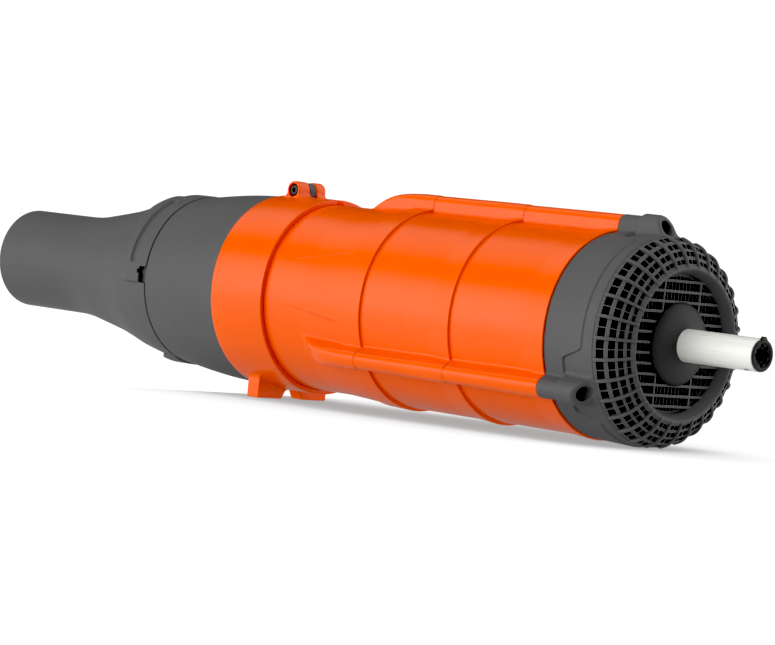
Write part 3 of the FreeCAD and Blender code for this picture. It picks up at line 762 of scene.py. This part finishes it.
for i in range(nr - 1):
    for j in range(nc):
        j2 = (j + 1) % nc
        a, b, c, d = i * nc + j, i * nc + j2, (i + 1) * nc + j2, (i + 1) * nc + j
        if not is_hole[i, j]:
            F.append((a, b, c, d))
            F.append((off + d, off + c, off + b, off + a))
        else:
            if i == 0 or not is_hole[i - 1, j]:
                F.append((a, off + a, off + b, b)[::-1])
            if not is_hole[i + 1, j]:
                F.append((d, off + d, off + c, c))
            if not is_hole[i, j - 1]:
                F.append((a, d, off + d, off + a))
            if not is_hole[i, j2]:
                F.append((b, c, off + c, off + b)[::-1])
for j in range(nc):
    j2 = (j + 1) % nc
    F.append(((nr - 1) * nc + j, (nr - 1) * nc + j2, off + (nr - 1) * nc + j2, off + (nr - 1) * nc + j))
dome = make("cover_dome_mesh", V, F, sharp=30)
clean(dome, 30)


# guard bars in the recess
def bar_seg(y0, y1, z, th, xa, xb):
    """level bar with rounded front edges"""
    h = th / 2
    sec = rounded([(xa, z - h), (xb, z - h), (xb, z + h), (xa, z + h)], 0.45, 2)
    V, F = [], []
    m = len(sec)
    for yy in (y0, y1):
        for x, zz in sec:
            V.append((x, yy, zz))
    for k in range(m):
        F.append((k, (k + 1) % m, m + (k + 1) % m, m + k))
    F.append(tuple(range(m))[::-1])
    F.append(tuple(range(m, 2 * m)))
    return V, F


def post_seg(z0, z1, y, th, xa, xb):
    V, F = bar_seg(z0, z1, y, th, xa, xb)
    V = [(a, c, b) for a, b, c in V]
    return V, [f[::-1] for f in F]


GV, GF = [], []


def add(VF):
    V, F = VF
    o = len(GV)
    GV.extend(V)
    GF.extend([tuple(i + o for i in f) for f in F])


for k in range(-6, 7):
    z = 7.5 * k
    ro = math.sqrt(50.9 ** 2 - z * z)
    if abs(z) < 25.5:
        ri = math.sqrt(25.8 ** 2 - z * z)
        add(bar_seg(-ro, -ri, z, 2.2, 58.5, 61.0))
        add(bar_seg(ri, ro, z, 2.2, 58.5, 61.0))
    else:
        add(bar_seg(-ro, ro, z, 2.2, 58.5, 61.0))
for y in (-20.0, 20.0):
    ro = math.sqrt(50.9 ** 2 - y * y)
    ri = math.sqrt(25.8 ** 2 - y * y)
    add(post_seg(ri, ro, y, 2.0, 58.5, 60.8))
    add(post_seg(-ro, -ri, y, 2.0, 58.5, 60.8))
guard = make("cover_guard_mesh", GV, GF, sharp=40)
clean(guard, 40)
ring_ob = lathe("cover_ring_mesh", rounded([(58.5, 24.6), (61.0, 24.6), (61.0, 29.0), (58.5, 29.0)], 0.3, 2), n=96)
# hidden spigot that seats in the housing
spig = lathe("cover_spigot_mesh", rounded([(-9.0, 71.2), (-9.0, 73.2), (-6.3, 73.2), (-6.3, 71.9), (-4.3, 71.9), (-4.3, 73.2), (0.6, 73.2), (0.6, 75.0), (2.4, 75.0), (2.4, 71.2)], 0.15, 1), n=120)
put(band, "grey_shell", "body", "intake_cover")
for o in (dome, guard, ring_ob, spig):
    put(o, "grey_shell", "body")

# ------------------------------------------------------------------ hub boot
boot = [(61.0, 30.3), (61.6, 30.25), (62.3, 29.95), (63.2, 29.35), (64.1, 28.45), (65.0, 27.25), (65.9, 25.6), (66.7, 23.7), (67.4, 21.6), (68.0, 19.5), (68.6, 17.4),
        (69.1, 15.7), (69.6, 14.4), (70.0, 13.6), (70.3, 13.0), (70.35, 12.5), (70.2, 12.12), (66.6, 12.08), (66.2, 16.0), (64.6, 21.5), (62.6, 25.6), (61.2, 27.8)]
put(lathe("boot_dome", boot, n=144, sharp=50), "boot_rubber", "body", "hub_boot")


# ------------------------------------------------------------------ drive tube and its plug
def tube_field(x, y, z):
    r = np.hypot(y, z)
    d = smax(r - 12.0, smax(4.2 - x, x - 137.4, 0.2), 0.7)
    bore = np.where(x > 138.4, 11.4, 10.5)
    d = smax(d, bore - r, 0.2)
    v, w = local(y, z, 256.0)
    d = smax(d, -smax(np.hypot(v, x - 129.5) - 3.2, 2.0 - w, 0.3), 0.3)
    notch = smax(np.abs(y) - 3.3, smax(136.6 - x, 5.0 - z, 0.2), 0.2)
    return smax(d, -notch, 0.2)


xs = dense(3.0, 139.6, 8.0, [(4.2, 0.5, 0.4), (129.5, 3.8, 0.4), (136.9, 1.6, 0.3)])
ph = angles(4.0, [(256, 18, 1.6), (90, 17, 1.8)])
ob = net("tube_body", tube_field, xs, ph, span((-1.8, 0.5, 0.33)), lambda x: np.full_like(x, 12.0))
put(ob, "tube_white", "body", "drive_tube")


def plug_field(x, y, z):
    """end cap: rounded flange over the tube's end, plug inside it, key on top, lobed mouth"""
    r = np.hypot(y, z)
    d = smax(r - 11.75, smax(137.45 - x, x - 139.0, 0.3), 1.3)
    d = smin(d, smax(r - 10.44, smax(133.6 - x, x - 138.5, 0.2), 0.3), 0.2)
    key = smax(np.abs(y) - 2.75 + 0.42 * np.clip(z - 11.4, 0, 3), smax(136.8 - x, x - 139.0, 0.2), 0.4)
    key = smax(key, smax(9.5 - z, z - 13.4, 0.3), 0.5)
    d = smin(d, key, 1.2)
    phi = np.arctan2(z, y) - math.radians(5.0)
    star = r - (7.15 + 0.95 * np.cos(8 * phi))
    d = smax(d, -star, 0.5)
    # dished face round the mouth
    d = smax(d, -smax(r - 8.95 - 0.55 * (x - 139.0), 137.9 - x, 0.3), 0.5)
    return smax(d, -smax(r - 8.5, x - 136.6, 0.2), 0.2)


xs = dense(132.6, 139.6, 1.2, [(133.6, 0.4, 0.4), (137.9, 1.8, 0.3)])
ph = angles(2.0, [(90, 18, 1.0)])
ob = net("plug_body", plug_field, xs, ph, span((-6.5, 2.8, 0.33)), lambda x: np.full_like(x, 11.4))
put(ob, "black_plastic", "body", "tube_end_plug")


def socket_field(x, y, z):
    r = np.hypot(y, z)
    phi = np.arctan2(z, y)
    d = smax(r - 7.8, smax(108.0 - x, x - 136.0, 0.2), 0.6)
    star = smax(r - (4.75 + 0.65 * np.cos(8 * phi)), 122.5 - x, 0.2)
    d = smax(d, -star, 0.4)
    return smax(d, -smax(r - 4.05, x - 123.0, 0.2), 0.2)


xs = dense(107.0, 136.6, 3.0, [(108, 0.5, 0.5), (122.7, 0.8, 0.4), (135.7, 0.7, 0.3)])
ob = net("socket_body", socket_field, xs, angles(3.0, []), span((-4.1, 0.8, 0.35)), lambda x: np.full_like(x, 7.8))
put(ob, "black_plastic", "rotor", "coupling_socket")

# ------------------------------------------------------------------ clamp band with its lug and feet
LUG_X, LUG_Z = -328.4, 80.4
band_out = smooth_table([(-348.4, 75.35), (-347.6, 75.5), (-344, 75.9), (-320, 76.3), (-292.6, 76.3), (-290.2, 76.2)])


def clamp(x, y, z):
    r = np.hypot(y, z)
    d = smax(r - band_out(x), smax(-347.6 - x, x + 290.8, 0.3), 1.0)
    # ears: rounded top, foot flared fore and aft
    u = x - LUG_X
    top = np.hypot(u, z - 80.7) - 6.8
    side = np.abs(u) - 6.8 - 0.02 * np.clip(80.7 - z, 0, 8)
    prof = np.where(z > 80.7, top, side)
    for y0, y1 in ((-16.6, -4.4), (2.9, 13.0)):
        ear = smax(prof, smax(y0 - y, y - y1, 0.3), 1.3)
        ear = smax(ear, 70.0 - z, 0.3)
        d = smin(d, ear, 4.2)
    # feet
    for s in (-1, 1):
        yy = s * y
        slant = (6.5 + (z + 75.0) * -0.55 - yy) * 0.87
        ft = smax(smax(yy - 37.6 - np.clip(z + 80, 0, 8) * 0.02, slant, 1.2), smax(-334.5 - x, x + 322.0, 0.3), 1.0)
        ft = smax(ft, smax(-83.6 - z, z + 66.0, 0.3), 1.2)
        d = smin(d, ft, 2.4)
    # slit, screw hole, counterbore, nut pocket
    d = smax(d, -smax(smax(-4.3 - y, y - 2.9, 0.2), 60.0 - z, 0.2), 0.6)
    rs = np.hypot(u, z - LUG_Z)
    d = smax(d, -smax(rs - 5.2, y + 12.2, 0.3), 0.5)
    d = smax(d, -smax(rs - 2.7, 60.0 - z, 0.3), 0.3)
    hx = np.maximum(np.abs(z - LUG_Z), np.maximum(np.abs(0.866 * u + 0.5 * (z - LUG_Z)), np.abs(0.866 * u - 0.5 * (z - LUG_Z))))
    d = smax(d, -smax(hx - 4.1, 9.0 - y, 0.2), 0.3)
    return smax(d, 72.5 - r, 0.4)


xs = dense(-349.0, -289.4, 3.5, [(-347.4, 0.9, 0.5), (-291.2, 1.0, 0.5), (LUG_X, 11.5, 0.65), (-334.5, 1.5, 0.5), (-322.0, 1.5, 0.5)])
ph = angles(2.0, [(92.0, 14.5, 0.5), (270, 31, 0.8), (270 - 26.0, 3, 0.5), (270 + 26.0, 3, 0.5), (265, 2.5, 0.5), (275, 2.5, 0.5)])
ts = span((-2.6, 3.6, 0.55), (3.6, 12.6, 0.6))
ob = net("band_body", clamp, xs, ph, np.concatenate([ts, ts[-1] + np.arange(1, 16) * 0.65]), lambda x: np.full_like(x, 74.0))
put(ob, "orange_shell", "body", "clamp_band")


# ------------------------------------------------------------------ clamp screw and nut
def about_y(name, prof, x, z, n=64, sharp=35):
    """(y, r) profile turned about a line along Y"""
    prof = np.array(prof, float)
    m = len(prof)
    a = np.linspace(0, 2 * math.pi, n, endpoint=False)
    V = np.stack([x + prof[:, 1][:, None] * np.cos(a)[None], np.broadcast_to(prof[:, 0][:, None], (m, n)), z + prof[:, 1][:, None] * np.sin(a)[None]], 2).reshape(-1, 3)
    i, j = np.meshgrid(np.arange(m), np.arange(n), indexing="ij")
    Q = np.stack([i * n + j, ((i + 1) % m) * n + j, ((i + 1) % m) * n + (j + 1) % n, i * n + (j + 1) % n], 2).reshape(-1, 4)
    ob = make(name, V, Q, sharp=sharp)
    clean(ob, sharp)
    return ob


def star_socket(name, y_face, depth, x, z, r_out, r_in, r_ring, lobes=6, n=96):
    """flat ring face round a lobed socket, with its walls and floor"""
    a = np.linspace(0, 2 * math.pi, n, endpoint=False)
    rs = (r_out + r_in) / 2 + (r_out - r_in) / 2 * np.cos(lobes * a)
    rows = [(y_face, np.full(n, r_ring)), (y_face, rs + 0.12), (y_face + 0.12, rs), (y_face + depth, rs), (y_face + depth + 0.35, rs * 0.05)]
    V = np.concatenate([np.stack([x + r * np.cos(a), np.full(n, y), z + r * np.sin(a)], 1) for y, r in rows])
    F = []
    for i in range(len(rows) - 1):
        for j in range(n):
            F.append((i * n + j, i * n + (j + 1) % n, (i + 1) * n + (j + 1) % n, (i + 1) * n + j))
    ob = make(name, V, F, sharp=40)
    clean(ob, 40)
    return ob


screw = about_y("clamp_screw_body", [(-15.8, 3.3), (-15.75, 3.7), (-15.5, 4.1), (-15.1, 4.3), (-12.25, 4.3), (-12.2, 4.1), (-12.2, 2.45), (12.4, 2.45), (12.8, 2.0), (12.8, 0.02), (-13.0, 0.02), (-13.0, 2.6), (-15.79, 3.28)], LUG_X, LUG_Z)
sock = star_socket("clamp_screw_socket", -15.8, 2.0, LUG_X, LUG_Z, 2.1, 1.5, 3.31)
ob = joined("clamp_screw_visual", [screw, sock])
put(ob, "black_oxide", "body", "clamp_screw")
hexp = [(LUG_X + 8.0 / math.sqrt(3.0) * math.cos(math.radians(60 * k)), LUG_Z + 8.0 / math.sqrt(3.0) * math.sin(math.radians(60 * k))) for k in range(6)]
nut = prism("clamp_nut_visual", hexp, 9.05, 12.9, axis="y", edge=0.35, seg=2)
put(nut, "zinc_screw", "body", "clamp_nut")

# ------------------------------------------------------------------ outlet tube
ot_out = smooth_table([(-460, 60.4), (-457, 60.5), (-434.4, 63.9), (-433.2, 64.0)])
ot_big = smooth_table([(-433.4, 66.95), (-423, 68.3), (-400, 71.2), (-377, 73.35), (-362, 74.15), (-347.0, 74.8)])
ot_in = smooth_table([(-458, 57.9), (-445, 59.7), (-432, 61.8), (-427, 64.0), (-414, 67.0), (-400, 68.6), (-377, 69.6), (-313, 69.7)])


def outlet(x, y, z):
    r = np.hypot(y, z)
    a = smax(r - ot_big(x), smax(-433.45 - x, x + 347.7, 0.3), 0.7)
    b = smax(r - ot_out(x), smax(-457.0 - x, x + 431.0, 0.3), 0.5)
    c = smax(r - 72.4, smax(-350.0 - x, x + 314.5, 0.3), 0.4)
    d = smin(smin(a, b, 0.4), c, 0.3)
    # pins of the twist lock
    for q in (178.0, 358.0):
        v, w = local(y, z, q)
        pin = smax(np.hypot(v, x + 446.5) - 3.6, smax(59.0 - w, w - 66.1, 0.3), 0.7)
        d = smin(d, pin, 0.4)
    # key block between the ears of the clamp
    u = x - LUG_X
    prof = np.where(z > 80.4, np.hypot(u, z - 80.4) - 6.5, np.abs(u) - 6.5)
    key = smax(smax(prof, smax(-4.1 - y, y - 2.7, 0.2), 0.5), 70.5 - z, 0.3)
    d = smin(d, key, 0.3)
    d = smax(d, -smax(np.hypot(u, z - LUG_Z) - 2.7, 60.0 - z, 0.2), 0.2)
    return smax(d, ot_in(x) - r, 0.4)


def ot_mid(x):
    return np.interp(x, [-460, -457, -433, -423, -400, -377, -347, -313], [61.0, 61.2, 65.8, 68.0, 70.3, 71.6, 72.2, 71.0])


xs = dense(-458.2, -313.4, 4.0, [(-457, 0.6, 0.4), (-446.5, 4.5, 0.6), (-432.9, 1.2, 0.4), (-348.0, 0.9, 0.4), (LUG_X, 7.3, 0.7), (-314.5, 0.6, 0.4)])
ph = angles(2.2, [(90.8, 3.6, 0.45), (178, 4.2, 0.6), (358, 4.2, 0.6)])
ts = span((-4.6, 4.2, 0.6))
ob = net("outlet_body", outlet, xs, ph, np.concatenate([ts, 4.2 + np.arange(1, 20) * 0.65]), ot_mid)
put(ob, "grey_shell", "body", "outlet_tube")

# ------------------------------------------------------------------ nozzle
nz_out = smooth_table([(-433.4, 67.5), (-440, 66.6), (-446, 65.75), (-452.6, 64.75), (-460, 63.3), (-475, 60.1), (-490, 55.75), (-506, 51.3), (-522, 47.95), (-539, 44.65),
                       (-554, 41.9), (-565, 40.7), (-575, 40.3), (-585, 40.25), (-640, 40.2), (-648.5, 40.15)])
nz_in = smooth_table([(-433.0, 64.3), (-457.5, 60.8), (-459, 60.2), (-461.3, 59.0), (-463.0, 57.6), (-476, 56.6), (-490, 52.9), (-506, 48.5), (-522, 45.1), (-539, 41.8), (-554, 39.1), (-565, 37.9),
                      (-575, 37.3), (-585, 37.2), (-648.5, 37.2)])


def arc_dist(phi, a, b, r):
    """distance along the circle outside the arc a..b, negative within"""
    mid, half = (a + b) / 2.0, (b - a) / 2.0
    return (np.abs(turned_to(mid, phi)) - half) * r * math.pi / 180.0


def nozzle(x, y, z):
    r = np.hypot(y, z)
    phi = np.degrees(np.arctan2(z, y)) % 360.0
    d = smax(r - nz_out(x), smax(-645.6 - x, x + 433.85, 0.3), 0.8)
    for q in (0.0, 180.0):
        # raised block over the entry slot
        blk = smax(r - 68.3, smax(-451.5 - x, x + 434.0, 0.3), 1.2)
        blk = smax(blk, arc_dist(phi, 70.0 + q, 110.0 + q, 67.0), 2.0)
        d = smin(d, blk, 1.2)
        # pad over the track: soft shoulder in front, up to the collar behind, split by a blind groove
        front = np.interp(phi, np.array([100.0, 120.5, 138.0, 154.0, 167.0, 180.0, 186.0]) + q, [-482.0, -479.5, -473.5, -470.5, -469.0, -467.0, -465.0])
        low = nz_out(front)
        rise = np.clip((x - front) / (14.5 + (-469.0 - front) * 0.75), 0.0, 1.0)
        pad = r - (67.75 - (67.9 - low) * (1.0 - rise) ** 1.8)
        pad = smax(pad, smax(front - 0.5 - x, x + 434.0, 0.3), 0.8)
        pad = smax(pad, arc_dist(phi, 102.0 + q, 185.2 + q, 66.0), 2.4)
        d = smin(d, pad, 1.0)
    for q in (0.0, 180.0):
        past = np.maximum(arc_dist(phi, 113.0 + q, 171.0 + q, 66.0) + 2.6, 0.0)
        gr = np.hypot(np.hypot(x + 450.6, past), r - 69.2) - 3.55
        d = smax(d, -gr, 0.8)
        sl = smax(smax(-441.2 - x, x + 431.0, 0.2), arc_dist(phi, 173.7 + q, 184.9 + q, 67.0), 0.5)
        nub = smax(smax(-443.4 - x, x + 439.0, 0.2), arc_dist(phi, 175.6 + q, 178.5 + q, 67.0), 0.5)
        d = smax(d, -smax(smin(sl, nub, 0.4), 60.0 - r, 0.2), 0.4)
        tk = smax(smax(-450.5 - x, x + 442.5, 0.2), arc_dist(phi, 83.5 + q, 182.0 + q, 67.0), 0.3)
        tk = smin(tk, smax(smax(-450.5 - x, x + 430.0, 0.2), arc_dist(phi, 83.5 + q, 92.5 + q, 67.0), 0.3), 0.3)
        d = smax(d, -smax(tk, r - np.minimum(66.35, nz_out(x) - 1.0), 0.2), 0.3)
    return smax(d, nz_in(x) - r, 0.5)


def nz_mid(x):
    return (nz_out(x) + nz_in(x)) / 2


xs = dense(-646.6, -433.0, 5.0, [(-645.2, 1.0, 0.5), (-468, 14, 1.0), (-451.2, 3.6, 0.45), (-442.4, 1.6, 0.4), (-434.8, 1.2, 0.4)])
sp = []
for q in (0.0, 180.0):
    sp += [(70 + q, 2.6, 0.6), (108 + q, 7.0, 0.6), (83.5 + q, 0.8, 0.5), (92.5 + q, 0.8, 0.5), (171.5 + q, 3.0, 0.4), (177 + q, 2.0, 0.4), (185 + q, 2.6, 0.4)]
ph = angles(2.2, sp)
ob = net("nozzle_body", nozzle, xs, ph, span((-3.2, 7.7, 0.45)), nz_mid)
put(ob, "grey_shell", "nozzle", "nozzle")

# ------------------------------------------------------------------ stage, light, camera
# the floor touches the feet and the cover, and falls away gently under the nozzle
FEET_X, SLOPE = -322.0, 6.2 / 365.0


def floor_z(x):
    return -83.62 + (x - FEET_X) * SLOPE - 520.0 * ramp(np.asarray(x, float), -350.0, -1700.0)


gx = np.concatenate([np.linspace(-9000, -1800, 8), np.linspace(-1700, -350, 46), np.linspace(-300, 600, 4), np.linspace(1200, 9000, 5)])
gy = np.linspace(-8000, 9000, 9)
gz = floor_z(gx)
V = [(x, y, z) for x, z in zip(gx, gz) for y in gy]
nyy = len(gy)
F = [(i * nyy + j, (i + 1) * nyy + j, (i + 1) * nyy + j + 1, i * nyy + j + 1) for i in range(len(gx) - 1) for j in range(nyy - 1)]
floor = make("floor", V, F)
fm = Mat("floor_white")


def shade(distance, lo, hi, dark, bright):
    """soft contact shade of what stands within the distance"""
    node = fm.n.new("ShaderNodeAmbientOcclusion")
    node.samples = 8
    node.inputs["Distance"].default_value = distance
    return fm.map(node.outputs["AO"], lo, hi, dark, bright)


glow = fm.math("MULTIPLY", shade(0.24, 0.20, 0.92, 0.56, 1.03), shade(0.05, 0.10, 0.90, 0.72, 1.0))
fm.set(Base_Color=fm.mix(fm.map(fm.noise(1.5, 2.0), 0.3, 0.7, 0.0, 1.0), (0.04, 0.04, 0.04, 1.0), (0.05, 0.05, 0.05, 1.0)))
fm.b.inputs["Roughness"].default_value = 0.9
fm.b.inputs["Specular IOR Level"].default_value = 0.0
fm.b.inputs["Emission Color"].default_value = (1.0, 1.0, 1.0, 1.0)
fm.set(Emission_Strength=glow)
# seen from below the floor is clear
geo, clear, both = fm.n.new("ShaderNodeNewGeometry"), fm.n.new("ShaderNodeBsdfTransparent"), fm.n.new("ShaderNodeMixShader")
out = [v for v in fm.n if v.type == "OUTPUT_MATERIAL"][0]
fm.link(geo.outputs["Backfacing"], both.inputs[0])
fm.link(fm.b.outputs[0], both.inputs[1])
fm.link(clear.outputs[0], both.inputs[2])
fm.link(both.outputs[0], out.inputs["Surface"])
floor.data.materials.append(fm.m)
floor.visible_diffuse = False  # the floor shows and reflects, and gives no bounce light

# white backdrop all round, seen by the camera only: it neither lights the object nor shows in its gloss
bv, bf = [], []
for i in range(1, 24):
    for j in range(48):
        a, b = math.pi * i / 24, 2.0 * math.pi * j / 48
        bv.append((24000.0 * math.sin(a) * math.cos(b), 24000.0 * math.sin(a) * math.sin(b), 24000.0 * math.cos(a)))
bv += [(0.0, 0.0, 24000.0), (0.0, 0.0, -24000.0)]
for i in range(22):
    for j in range(48):
        bf.append((i * 48 + j, i * 48 + (j + 1) % 48, (i + 1) * 48 + (j + 1) % 48, (i + 1) * 48 + j))
for j in range(48):
    bf.append((len(bv) - 2, (j + 1) % 48, j))
    bf.append((len(bv) - 1, 22 * 48 + j, 22 * 48 + (j + 1) % 48))
backdrop = make("backdrop", bv, bf)
bm = Mat("backdrop_white")
bm.b.inputs["Base Color"].default_value = (0.05, 0.05, 0.05, 1.0)
bm.b.inputs["Roughness"].default_value = 0.9
bm.b.inputs["Specular IOR Level"].default_value = 0.0
bm.b.inputs["Emission Color"].default_value = (1.0, 1.0, 1.0, 1.0)
bm.b.inputs["Emission Strength"].default_value = 1.04
backdrop.data.materials.append(bm.m)
backdrop.visible_diffuse = backdrop.visible_glossy = backdrop.visible_transmission = backdrop.visible_shadow = False

cam = bpy.data.cameras.new("camera")
cam.sensor_width = 36.0
cam.lens = 171.87
cam.clip_end = 60.0
co = bpy.data.objects.new("camera", cam)
right, up, fwd = Vector((0.7146, 0.6913, 0.1070)), Vector((-0.0995, -0.0510, 0.9937)), Vector((-0.6924, 0.7207, -0.0323))
fwd.normalize()
right = (right - fwd * right.dot(fwd)).normalized()
up = right.cross(fwd).normalized()
m = Matrix((right, up, -fwd)).transposed().to_4x4()
m.translation = Vector((1.6032, -2.0498, 0.0787))
co.matrix_world = m
bpy.context.scene.collection.objects.link(co)
bpy.context.scene.camera = co

# studio: a white band at eye level, soft boxes in front, to the left and overhead, one behind, a weak fill from below
world = bpy.data.worlds.new("studio")
world.use_nodes = True
bpy.context.scene.world = world
wt = world.node_tree
bg = wt.nodes["Background"]
bg.inputs["Color"].default_value = (1.0, 1.0, 1.0, 1.0)
where = wt.nodes.new("ShaderNodeTexCoord").outputs["Generated"]


def wmath(op, a, b=0.0):
    r = wt.nodes.new("ShaderNodeMath")
    r.operation = op
    for k, v in enumerate((a, b)):
        if isinstance(v, (int, float)):
            r.inputs[k].default_value = v
        else:
            wt.links.new(v, r.inputs[k])
    return r.outputs[0]


def wstep(v, a, b, lo, hi):
    r = wt.nodes.new("ShaderNodeMapRange")
    r.interpolation_type = "SMOOTHSTEP"
    for k, q in (("From Min", a), ("From Max", b), ("To Min", lo), ("To Max", hi)):
        r.inputs[k].default_value = q
    wt.links.new(v, r.inputs["Value"])
    return r.outputs["Result"]


def soft_box(direction, c_out, c_in, power):
    n = Vector(direction).normalized()
    r = wt.nodes.new("ShaderNodeVectorMath")
    r.operation = "DOT_PRODUCT"
    wt.links.new(where, r.inputs[0])
    r.inputs[1].default_value = n
    return wstep(r.outputs["Value"], c_out, c_in, 0.0, power)


light = 0.06
for direction, c_out, c_in, power in (((-0.69, -0.72, 0.02), 0.84, 0.96, 1.95), ((-0.10, -0.95, 0.18), 0.72, 0.95, 2.1),
                                      ((0.1, -0.1, 1.0), 0.70, 0.95, 0.75), ((-0.69, -0.02, 0.71), 0.93, 0.985, 1.0), ((0.45, 0.85, 0.25), 0.42, 0.95, 1.6)):
    light = wmath("ADD", soft_box(direction, c_out, c_in, power), light)
sep = wt.nodes.new("ShaderNodeSeparateXYZ")
wt.links.new(where, sep.inputs[0])
light = wmath("ADD", light, wstep(sep.outputs["Z"], -0.1, -0.7, 0.0, 0.40))
band = wstep(wmath("ABSOLUTE", sep.outputs["Z"]), 0.06, 0.12, 1.06, 0.0)
wt.links.new(wmath("MAXIMUM", light, band), bg.inputs["Strength"])

sc = bpy.context.scene
vs = sc.view_settings
vs.view_transform = "Standard"
vs.look = "None"
vs.use_curve_mapping = True
vs.curve_mapping.black_level = (0.025, 0.025, 0.025)
vs.curve_mapping.update()
